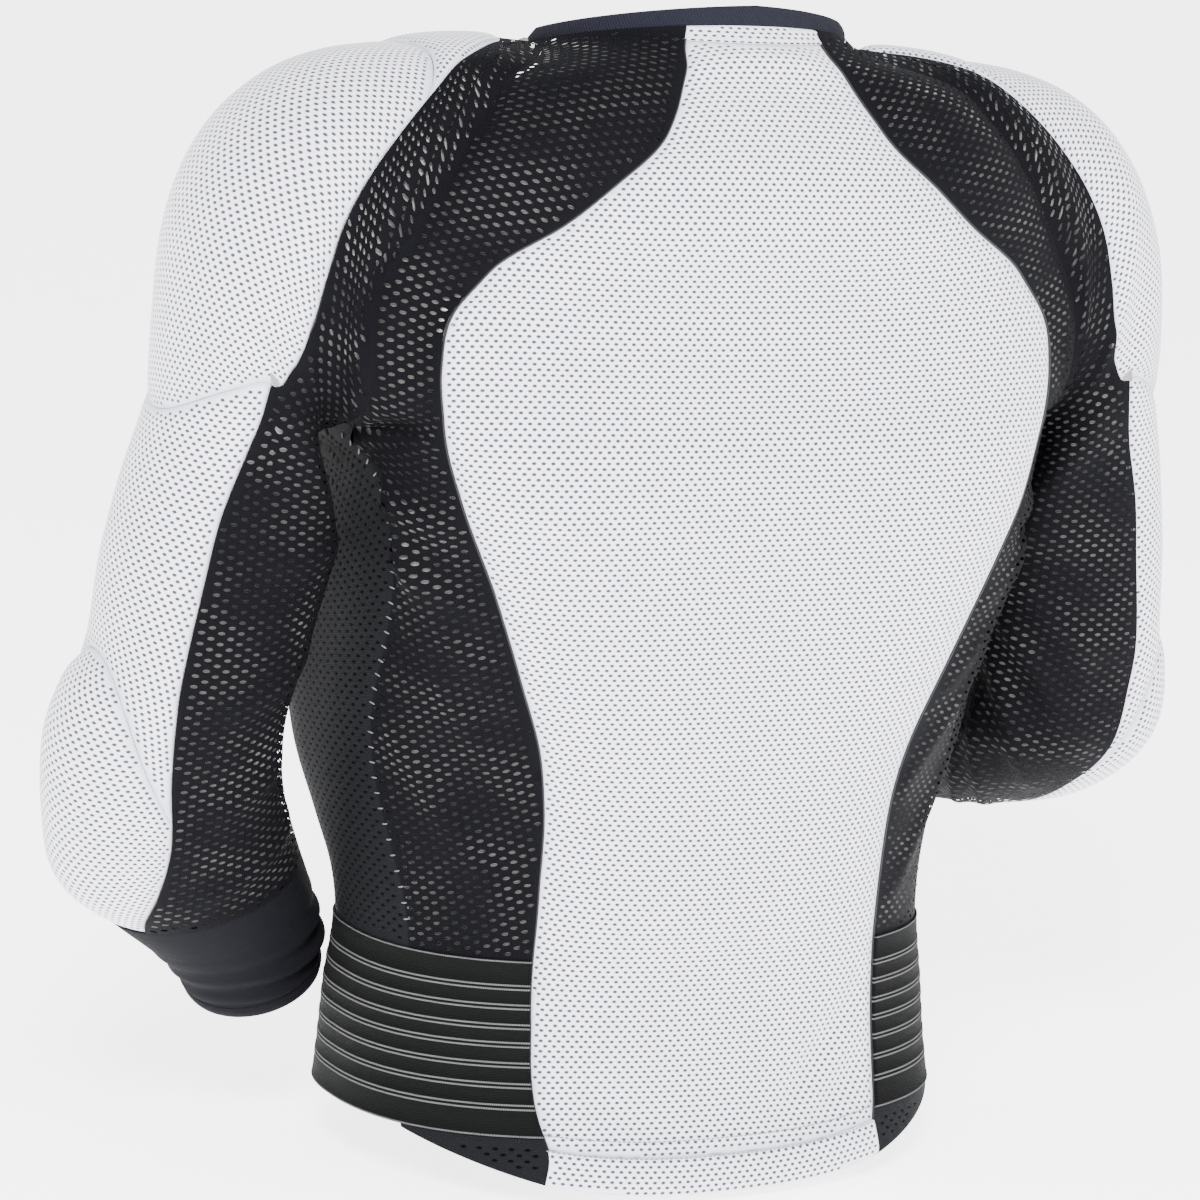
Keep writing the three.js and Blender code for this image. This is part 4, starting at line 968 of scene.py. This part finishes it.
def studio_floor():
    look = Look("pale_floor", 0.9, 0.1)
    look.shader.inputs["Emission Color"].default_value = (1, 1, 1, 1)
    look.shader.inputs["Emission Strength"].default_value = 3.6
    look.colour(look.blend(look.cloud(0.6), (0.93, 0.93, 0.935), (0.95, 0.95, 0.955)))
    return look.material


GREY, NET, MESH = grey_mesh(), black_net(), black_mesh()
# The linings' patches are painted light and shade, strong in the lining behind the nets and faint on the
# pads' inner faces.
LINING, PAD_LINING = knit_lining("lining_painted_light_shade", 0.075), knit_lining("pale_lining", 0.3)
KNIT, RIBBED, ELASTIC = black_knit(), ribbed_binding(), belt_elastic()
DARK_THREAD = thread("dark_thread", (0.003, 0.003, 0.005), (0.012, 0.012, 0.016))
GREY_THREAD = thread("grey_thread", (0.12, 0.12, 0.15), (0.25, 0.25, 0.3))
PALE_THREAD = thread("pale_thread", (0.05, 0.055, 0.065), (0.12, 0.13, 0.15))

# Lattices of holes and dimples: pitch across, step between rows, size, corners of each,
# plain margin beside the seams, all in millimetres.
OPEN_NET = dict(pitch=11, row_step=2.9, size=(4.3, 1.9), corners=8, margin=2.8, filled=False)
CLOSED_NET = dict(pitch=9, row_step=3.2, size=(4.4, 2.2), corners=6, margin=4, filled=True)
SPACER = dict(pitch=5, row_step=2.9, size=(3.3, 2.35), corners=6, margin=2.2, filled=True)
COARSE = dict(pitch=16, row_step=8, size=(4, 4), corners=3, margin=6, filled=True)
DIMPLE = 0.8  # depth of a dimple
NET_DIMPLE = 0.7  # and of a dimple in the closed net
SEAM_ROLL, SEAM_WIDTH = 1.1, 4.5  # depth and width of a pad's dip at its seams; the width also spreads the painted shade there


def placed(obj, material, nodes=()):
    """Gives a new piece its material, slot and the nodes that it replaces."""
    obj.data.materials.append(material)
    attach(obj, "root")
    if nodes:
        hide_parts(*nodes)
    return obj


def declared(obj, cloth):
    """Works out the width, length and area of the cloth panel's cut, and returns the piece unchanged."""
    width, length, area = cloth.flat_facts()
    return obj


def mirror(points, faces, side, facing=1):
    """Points and triangles for a side, turned so that the triangles face out."""
    if side == "right":
        points = points * np.array([-1, 1, 1])
    if (side == "right") != (facing < 0):
        faces = faces[:, ::-1]
    return points, faces


def sheet_piece(name, cloth, pattern, material, nodes, side, depth=0.0):
    """An open sheet of net or mesh. depth is how deep its dimples are."""
    u, v, faces, kind, _ = pierced(cloth, **pattern)
    points = cloth.at(cloth.points, u, v)
    if pattern["filled"]:
        points = points - cloth.at(cloth.normals, u, v) * ((kind == 2) * depth)[:, None]
    points, faces = mirror(points, faces, side, cloth.facing)
    obj = add_mesh(name, points, faces, cloth.at(cloth.flat, u, v), {"dot": kind})
    return declared(placed(obj, material, nodes), cloth)


def padded_piece(name, cloth, fill, nodes, side):
    """A pad: dimpled cover, plain inner face and the edge between them, as one closed solid."""
    seam = np.exp(-(cloth.seam_distance() / SEAM_WIDTH) ** 2)
    cover = cloth.raised(-SEAM_ROLL * seam)
    u, v, faces, kind, border = pierced(cloth, **SPACER)
    outer = cover.at(cover.points, u, v) - cloth.at(cloth.normals, u, v) * ((kind == 2) * DIMPLE)[:, None]
    back_u, back_v, back_faces, _, back_border = pierced(cloth, **COARSE)
    depth = (PAD_EDGE + fill * swell(back_u, back_v))[:, None]
    inner = cloth.at(cloth.points, back_u, back_v) - cloth.at(cloth.normals, back_u, back_v) * depth
    start = len(u)
    a, b = border, np.roll(border, -1)
    c, d = back_border + start, np.roll(back_border, -1) + start
    rim = np.concatenate([np.stack([a, c, d], 1), np.stack([a, d, b], 1)])
    every = np.concatenate([faces, back_faces[:, ::-1] + start, rim])
    points, every = mirror(np.concatenate([outer, inner]), every, side, cloth.facing)
    flat = np.concatenate([cloth.at(cloth.flat, u, v), cloth.at(cloth.flat, back_u, back_v)])
    # The seam field also carries the painted shade towards the seams, in the pale spacer mesh.
    fields = {"dot": np.concatenate([kind, np.zeros(len(back_u))]),
              "seam": np.concatenate([cloth.at(seam, u, v), np.zeros(len(back_u))])}
    obj = add_mesh(name, points, every, flat, fields)
    placed(obj, GREY, nodes)
    obj.data.materials.append(PAD_LINING)
    index = np.zeros(len(every), np.int32)
    index[len(faces):len(faces) + len(back_faces)] = 1
    obj.data.polygons.foreach_set("material_index", index)
    return obj


def band_piece(name, cloth, out, inward, material, nodes, side, fields=None, closed=False):
    """A closed band with an outer and an inner face, out and inward of the cloth.

    out and inward are heights in millimetres, one number or one for each grid point. closed
    bands go all the way round, so their first and last columns are joined."""
    u_count, v_count = cloth.u_count - (1 if closed else 0), cloth.v_count
    shape = (cloth.u_count, cloth.v_count)
    outer = cloth.points + cloth.normals * np.broadcast_to(out, shape)[..., None]
    inner = cloth.points - cloth.normals * np.broadcast_to(inward, shape)[..., None]
    number = np.arange(u_count * v_count).reshape(u_count, v_count)
    if closed:
        number = np.concatenate([number, number[:1]])
    size = u_count * v_count
    quads = [(number[:-1, :-1], number[1:, :-1], number[1:, 1:], number[:-1, 1:])]
    back = number + size
    quads.append((back[:-1, :-1], back[:-1, 1:], back[1:, 1:], back[1:, :-1]))
    quads.append((number[:-1, 0], back[:-1, 0], back[1:, 0], number[1:, 0]))
    quads.append((number[:-1, -1], number[1:, -1], back[1:, -1], back[:-1, -1]))
    if not closed:
        quads.append((number[0, :-1], number[0, 1:], back[0, 1:], back[0, :-1]))
        quads.append((number[-1, :-1], back[-1, :-1], back[-1, 1:], number[-1, 1:]))
    faces = []
    for a, b, c, d in quads:
        a, b, c, d = (k.ravel() for k in (a, b, c, d))
        faces += [np.stack([a, b, c], 1), np.stack([a, c, d], 1)]
    faces = np.concatenate(faces)
    points = np.concatenate([outer[:u_count].reshape(-1, 3), inner[:u_count].reshape(-1, 3)])
    flat = np.tile(cloth.flat[:u_count].reshape(-1, 2), (2, 1))
    points, faces = mirror(points, faces, side, cloth.facing)
    fields = {key: np.tile(value[:u_count].ravel(), 2) for key, value in (fields or {}).items()}
    obj = add_mesh(name, points, faces, flat, fields)
    return placed(obj, material, nodes)


def rod_faces(count, sides):
    """Triangles of a closed rod of rings, whose points are numbered ring by ring."""
    a = np.arange((count - 1) * sides)
    b = a - a % sides + (a + 1) % sides
    k = np.arange(1, sides - 1)
    last = (count - 1) * sides
    return np.concatenate([
        np.stack([a, b, b + sides], 1), np.stack([a, b + sides, a + sides], 1),
        np.stack([0 * k, k + 1, k], 1), np.stack([0 * k + last, last + k, last + k + 1], 1)])


def rods_piece(name, rods, material):
    """One piece of many rods. Each rod is its rings of points and its side."""
    points, faces, start = [], [], 0
    for rings, side in rods:
        shape, triangles = mirror(rings.reshape(-1, 3), rod_faces(*rings.shape[:2]), side)
        points.append(shape)
        faces.append(triangles + start)
        start += len(shape)
    return placed(add_mesh(name, np.concatenate(points), np.concatenate(faces)), material)


def circle(sides):
    angle = np.arange(sides)[:, None] / sides * 2 * math.pi
    return np.cos(angle), np.sin(angle)


def stitches(cloth, first, last, side, length, radius, pitch, cross=False):
    """Stitches along a line between two places in shares. cross turns them across the line."""
    cos, sin = circle(6)
    at = cloth.line(first, last, pitch)
    ahead = at + (np.array(last) - np.array(first)) * 0.002
    points = cloth.at(cloth.points, at[:, 0], at[:, 1])
    along = unit(cloth.at(cloth.points, ahead[:, 0], ahead[:, 1]) - points)
    normal = unit(cloth.at(cloth.normals, at[:, 0], at[:, 1]))
    if cross:
        along = unit(np.cross(along, normal))
    beside = unit(np.cross(normal, along))
    return [(np.stack([point + up * radius * 0.5 + way * (length / 2 * place)
                       + radius * thick * (cos * off + sin * up) for place, thick in STITCH_RINGS]), side)
            for point, way, up, off in zip(points, along, normal, beside)]


def piping(cloth, first, last, side, radius, out):
    """Thin piping along a line between two places in shares, out millimetres above the cloth."""
    cos, sin = circle(8)
    at = np.concatenate([cloth.line(first, last, 3.0), [last]])
    normal = unit(cloth.at(cloth.normals, at[:, 0], at[:, 1]))
    points = cloth.at(cloth.points, at[:, 0], at[:, 1]) + normal * out
    along = unit(np.gradient(points, axis=0))
    beside = unit(np.cross(normal, along))
    up = np.cross(along, beside)
    return points[:, None] + radius * (cos * beside[:, None] + sin * up[:, None]), side


# Rings of a stitch: place along its half length and share of its radius.
STITCH_RINGS = ((-1, 0.05), (-0.7, 0.8), (0, 1), (0.7, 0.8), (1, 0.05))
SIDES = ("left", "right")
BACK, FRONT, PAD, HEM, STRIP = back_net(), front_net(), back_pad(), back_hem(), neck_strip()
ARMS = {"left": sleeve_table(LEFT_FOREARM), "right": sleeve_table(RIGHT_FOREARM)}
NET_LINING_GAP, FRONT_LINING_GAP, BELT_LINING_GAP = -3.0, -1.3, -2.4  # from net or belt to its lining

# Soft folds: ends in shares, width and height in millimetres.
BACK_NET_FOLDS = [
    (1.05, 0.555, 0.0, 0.63, 9, 6), (1.05, 0.56, 0.05, 0.71, 8, 5), (1.0, 0.6, 0.1, 0.79, 9, 5),
    (1.0, 0.68, 0.05, 0.88, 9, 4), (1.0, 0.78, 0.1, 0.98, 9, 4), (1.0, 0.5, 0.1, 0.53, 10, -7),
    (0.95, 0.42, 0.2, 0.34, 14, -4),
]
PAD_FOLDS = [
    (0.08, 0.93, 0.4, 0.99, 10, -3), (0.6, 0.99, 0.97, 0.86, 9, -3.5), (0.7, 1.0, 0.99, 0.93, 8, -3),
    (0.12, 0.4, 0.3, 0.43, 5, 1.5),
]
SLEEVE_NET_FOLDS = {
    "left": [(0.1, 0.62, 0.42, 0.56, 9, 3), (0.1, 0.76, 0.42, 0.68, 9, 3.5), (0.08, 0.86, 0.4, 0.8, 8, 3),
             (0.1, 0.96, 0.45, 0.9, 8, 3)],
    "right": [(0.05, 0.97, 0.5, 0.74, 7, 5), (0.05, 0.9, 0.5, 0.68, 7, 5), (0.05, 0.83, 0.5, 0.63, 7, 4.5),
              (0.1, 0.74, 0.5, 0.58, 8, 4), (0.15, 0.62, 0.5, 0.52, 9, 3.5), (0.1, 1.0, 0.5, 0.82, 6, 5)],
}
# The pads of a sleeve: their start and end seams, and how full they are.
SLEEVE_PADS = {
    "shoulder_top": (PAD_START, TOP_SEAM, 0.5), "shoulder_cap": (TOP_SEAM, CAP_SEAM, 0.8),
    "arm_pad": (CAP_SEAM, ELBOW_SEAM, 0.7), "elbow_pad": (ELBOW_SEAM, PAD_END, 0.7),
}


def lining_sheet(part, side, cloth, gap):
    """The pale lining inside another sheet."""
    sheet_piece(f"lining_{part}_{side}", cloth.raised(np.full(cloth.points.shape[:2], gap)), COARSE,
                LINING, [], side)


for side in SIDES:
    net = BACK.folded(BACK_NET_FOLDS)
    sheet_piece(f"net_back_{side}", net, OPEN_NET, NET, [f"back_net_{side}"], side)
    lining_sheet("back", side, net, NET_LINING_GAP)
    sheet_piece(f"mesh_front_{side}", FRONT, CLOSED_NET, MESH,
                [f"front_net_{side}"], side, depth=NET_DIMPLE)
    lining_sheet("front", side, FRONT, FRONT_LINING_GAP)
    sheet_piece(f"mesh_hem_{side}", hem_net(), CLOSED_NET, MESH,
                [f"hem_net_{side}"], side, depth=NET_DIMPLE)
    arm = ARMS[side]
    sleeve = sleeve_net(arm).folded(SLEEVE_NET_FOLDS[side], (0.05, 0.03))
    sheet_piece(f"net_sleeve_{side}", sleeve, OPEN_NET, NET, [f"sleeve_net_{side}"], side)
    lining_sheet("sleeve", side, sleeve, NET_LINING_GAP)
    for name, (start, end, fullness) in SLEEVE_PADS.items():
        padded_piece(f"cover_{name}_{side}", sleeve_pad(arm, start, end), SLEEVE_PAD_FILL,
                     [f"{name}_{side}"], side)
padded_piece("cover_back_pad", PAD.folded(PAD_FOLDS, (0.04, 0.01)), BACK_PAD_FILL, ["back_pad"], "left")


def dimpled_strip(name, cloth, thickness, nodes):
    """A narrow strip of spacer mesh with its dimples."""
    u, v, faces, kind, border = pierced(cloth, **dict(SPACER, margin=1.3))
    middle, normal = cloth.at(cloth.points, u, v), cloth.at(cloth.normals, u, v)
    outer = middle - normal * ((kind == 2) * DIMPLE)[:, None]
    inner = middle - normal * (thickness + DIMPLE)
    start = len(u)
    a, b = border, np.roll(border, -1)
    rim = np.concatenate([np.stack([a, a + start, b + start], 1), np.stack([a, b + start, b], 1)])
    every = np.concatenate([faces, faces[:, ::-1] + start, rim])
    points, every = mirror(np.concatenate([outer, inner]), every, "left", cloth.facing)
    flat = np.tile(cloth.at(cloth.flat, u, v), (2, 1))
    obj = add_mesh(name, points, every, flat, {
        "dot": np.concatenate([kind, kind * 0]), "seam": np.zeros(2 * start)})
    declared(placed(obj, GREY, nodes), cloth)


dimpled_strip("strip_hem", HEM, 1.6, ["back_hem"])
dimpled_strip("strip_neck", STRIP, 0.8, ["neck_strip"])

# Each double stripe of the belt is two raised pale lines, and each edge has one. Millimetres,
# apart from the stripes' places, which are shares of the belt's height.
STRIPES = (0.157, 0.27, 0.384, 0.488, 0.603, 0.72, 0.84)
LINE_HALF, LINE_EDGE, PAIR_HALF = 0.42, 0.16, 1.15
EDGE_LINE = ((0, 0.0), (0.35, 0.9), (0.95, 0.9), (1.15, 0.0))  # height and strength of the edge's line
BELT_OUT, BELT_IN, TAB_OUT, LINE_RISE = 1.2, 1.4, 1.7, 0.3


def belt_rows():
    """Heights down the belt and the stripe field of each."""
    rows = list(EDGE_LINE)
    for share in STRIPES:
        for middle in (share * BELT_HEIGHT - PAIR_HALF, share * BELT_HEIGHT + PAIR_HALF):
            rows += [(middle - LINE_HALF - LINE_EDGE, 0.0), (middle - LINE_HALF, 1.0),
                     (middle + LINE_HALF, 1.0), (middle + LINE_HALF + LINE_EDGE, 0.0)]
    rows += [(BELT_HEIGHT - height, strength) for height, strength in reversed(EDGE_LINE)]
    return np.array(rows).T


def belt_cloth(start, end, across):
    heights, stripe = belt_rows()
    u, v = np.meshgrid(np.linspace(0, 1, across), heights / BELT_HEIGHT, indexing="ij")
    z = mix(WAIST_Z, BELT_BOTTOM_Z, v)
    return Cloth(body_point(mix(start(z), end(z), u), z), 1), np.broadcast_to(stripe, u.shape)


def tab_edge(z):
    return -turn_at(BELT_TAB_HALF, z)


for side in SIDES:
    belt, stripe = belt_cloth(pad_edge, tab_edge, 160)
    waver = 0.175 * np.sin(belt.flat[..., 0] / 17)
    belt_piece = band_piece(
        f"elastic_belt_{side}", belt, BELT_OUT + LINE_RISE * stripe + waver, BELT_IN, ELASTIC,
        [f"belt_{side}"], side, {"stripe": stripe})
    declared(belt_piece, belt)
for side in SIDES:
    band = body_band(lambda z: 0 * z - 0.05, lambda z: tab_edge(z) + 0.02, WAIST_Z, BELT_BOTTOM_Z, 60, 16)
    lining_sheet("belt", side, band, BELT_LINING_GAP)
tab, stripe = belt_cloth(tab_edge, lambda z: -math.pi - tab_edge(z), 60)
tab_piece = band_piece("elastic_tab", tab, TAB_OUT, BELT_IN, ELASTIC, ["belt_tab"], "left",
                       {"stripe": stripe * 0})
declared(tab_piece, tab)

# The closure strip has a low ridge down its middle.
RIDGE_HEIGHT, RIDGE_WIDTH, CLOSURE_OUT, CLOSURE_IN = 0.5, 0.2, 0.6, 1.2
closure = body_band(lambda z: -turn_at(PLACKET_HALF, z), lambda z: turn_at(PLACKET_HALF, z) - math.pi,
                    PLACKET_TOP_Z, WAIST_Z, 17, 160)
ridge = RIDGE_HEIGHT * np.exp(-((np.linspace(-1, 1, 17) / RIDGE_WIDTH) ** 2))[:, None]
closure_piece = band_piece("strip_closure", closure, CLOSURE_OUT + ridge, CLOSURE_IN, KNIT,
                           ["front_placket"], "left")
declared(closure_piece, closure)


FOREARM_FOLD, CUFF_ROUND = 4.2, 0.7  # height of the wrinkles and of the cuff's round face


def forearm_folds(u, v):
    """Rings of soft wrinkles that deepen towards the sleeve's end."""
    drift = 0.35 * np.sin(2 * math.pi * u + 0.6) + 0.12 * np.sin(4 * math.pi * u)
    wave = np.sin(2 * math.pi * (4.2 * v + drift))
    deep = smooth_step(v, 0.25, 0.8) * (0.6 + 0.4 * np.cos(2 * math.pi * (u - 0.6)))
    rim = smooth_step(v, 0, 0.1) * smooth_step(1 - v, 0, 0.08)
    return FOREARM_FOLD * wave * deep * rim


CUFF_START = SLEEVE_END - CUFF_HEIGHT / (SLEEVE_DROP / SLEEVE_END)
for side in SIDES:
    arm = ARMS[side]
    fore = sleeve_tube(arm, PAD_END[1], CUFF_START, 90)
    fore = fore.raised(forearm_folds(*shares(fore.u_count, fore.v_count)))
    obj = band_piece(f"knit_forearm_{side}", fore, 0.0, 1.4, KNIT, [f"forearm_{side}"], side,
                     closed=True)
    declared(obj, sleeve_tube(arm, PAD_END[1], CUFF_START, 60))
    cuff = sleeve_tube(arm, CUFF_START, SLEEVE_END, 16)
    cuff = cuff.raised(CUFF_ROUND * np.sin(math.pi * shares(cuff.u_count, cuff.v_count)[1]))
    obj = band_piece(f"binding_cuff_{side}", cuff, 0.2, 2.2, KNIT, [f"cuff_{side}"], side,
                     closed=True)
    declared(obj, cuff)


def collar_cloth():
    """Ribbed binding that stands on the neckline."""
    u, v = shares(241, 14)
    around = 2 * math.pi * u
    base = neckline(np.arcsin(np.clip(np.sin(around), -1, 1)))
    base[..., 0] *= np.sign(np.cos(around) + 1e-12)
    outward = unit(base * np.array([1, 1, 0]))
    height = (1 - v) * COLLAR_HEIGHT * mix(1, COLLAR_SIDE, np.abs(np.cos(around)))
    points = base - outward * (COLLAR_INSET + COLLAR_LEAN * height)[..., None]
    points[..., 2] += height
    return Cloth(points, -1)


COLLAR_ROUND, COLLAR_THICK = 0.9, 1.2
collar = collar_cloth()
rise = COLLAR_ROUND * np.sin(math.pi * np.linspace(0, 1, 14))[None, :]
obj = band_piece("binding_collar", collar, rise, COLLAR_THICK + rise, RIBBED, ["collar"],
                 "left", closed=True)
declared(obj, collar)

# Seams: piping beside the back pad, and rows of stitches. Their lengths, radii and pitches
# are in millimetres.
PIPING_RADIUS, PIPING_OUT = 0.85, -0.9
HEM_ROW = 1 - 8 / 600  # share of the pad's height where the row above its lower edge runs
rods_piece("piping_back", [piping(PAD, (end, 0), (end, 1), "left", PIPING_RADIUS, PIPING_OUT)
                           for end in (0, 1)], DARK_THREAD)
rods_piece("stitches_neck", stitches(STRIP, (0, 1), (1, 1), "left", 3.0, 0.45, 4.4),
           DARK_THREAD)
rods_piece("stitches_hem", stitches(PAD, (0.01, HEM_ROW), (0.99, HEM_ROW), "left", 2.6, 0.4, 3.0)
           + stitches(HEM, (0, 0.02), (1, 0.02), "left", 2.6, 0.4, 3.0), GREY_THREAD)
rods_piece("stitches_side", [rod for side in SIDES for rod in stitches(
    BACK, (1, UPPER_SHARE + 0.01), (1, 0.99), side, 4.2, 0.55, 9.0, True)], PALE_THREAD)

FLOOR_HALF, FLOOR_GAP = 60000, 6  # half width of the floor, and its gap below the hem
floor_corners = np.array([(-1, -1), (1, -1), (1, 1), (-1, 1)]) * FLOOR_HALF
floor_height = np.full((4, 1), CAD_LOW[2] / MM - FLOOR_GAP)
floor = add_mesh("floor", np.concatenate([floor_corners, floor_height], 1), [(0, 1, 2), (0, 2, 3)])
floor.data.materials.append(studio_floor())

LIGHT_AIM = Vector((0, 0, -0.3))
SKY_COLOUR, SKY_STRENGTH = (0.92, 0.935, 1, 1), 1.15


def add_light(name, energy, place, size):
    data = bpy.data.lights.new(name, "AREA")
    data.energy = energy
    data.shape, data.size = "DISK", size
    light = bpy.data.objects.new(name, data)
    light.location = place
    light.rotation_euler = (Vector(place) - LIGHT_AIM).to_track_quat("Z", "Y").to_euler()
    bpy.context.scene.collection.objects.link(light)


world = bpy.data.worlds.new("soft_studio")
bpy.context.scene.world = world
world.use_nodes = True
sky = world.node_tree.nodes["Background"]
sky.inputs["Color"].default_value = SKY_COLOUR
sky.inputs["Strength"].default_value = SKY_STRENGTH
add_light("key_light", 310, (1.6, 2.6, 1.9), 1.2)
add_light("fill_light", 40, (-2.2, 1.6, 1.0), 1.6)
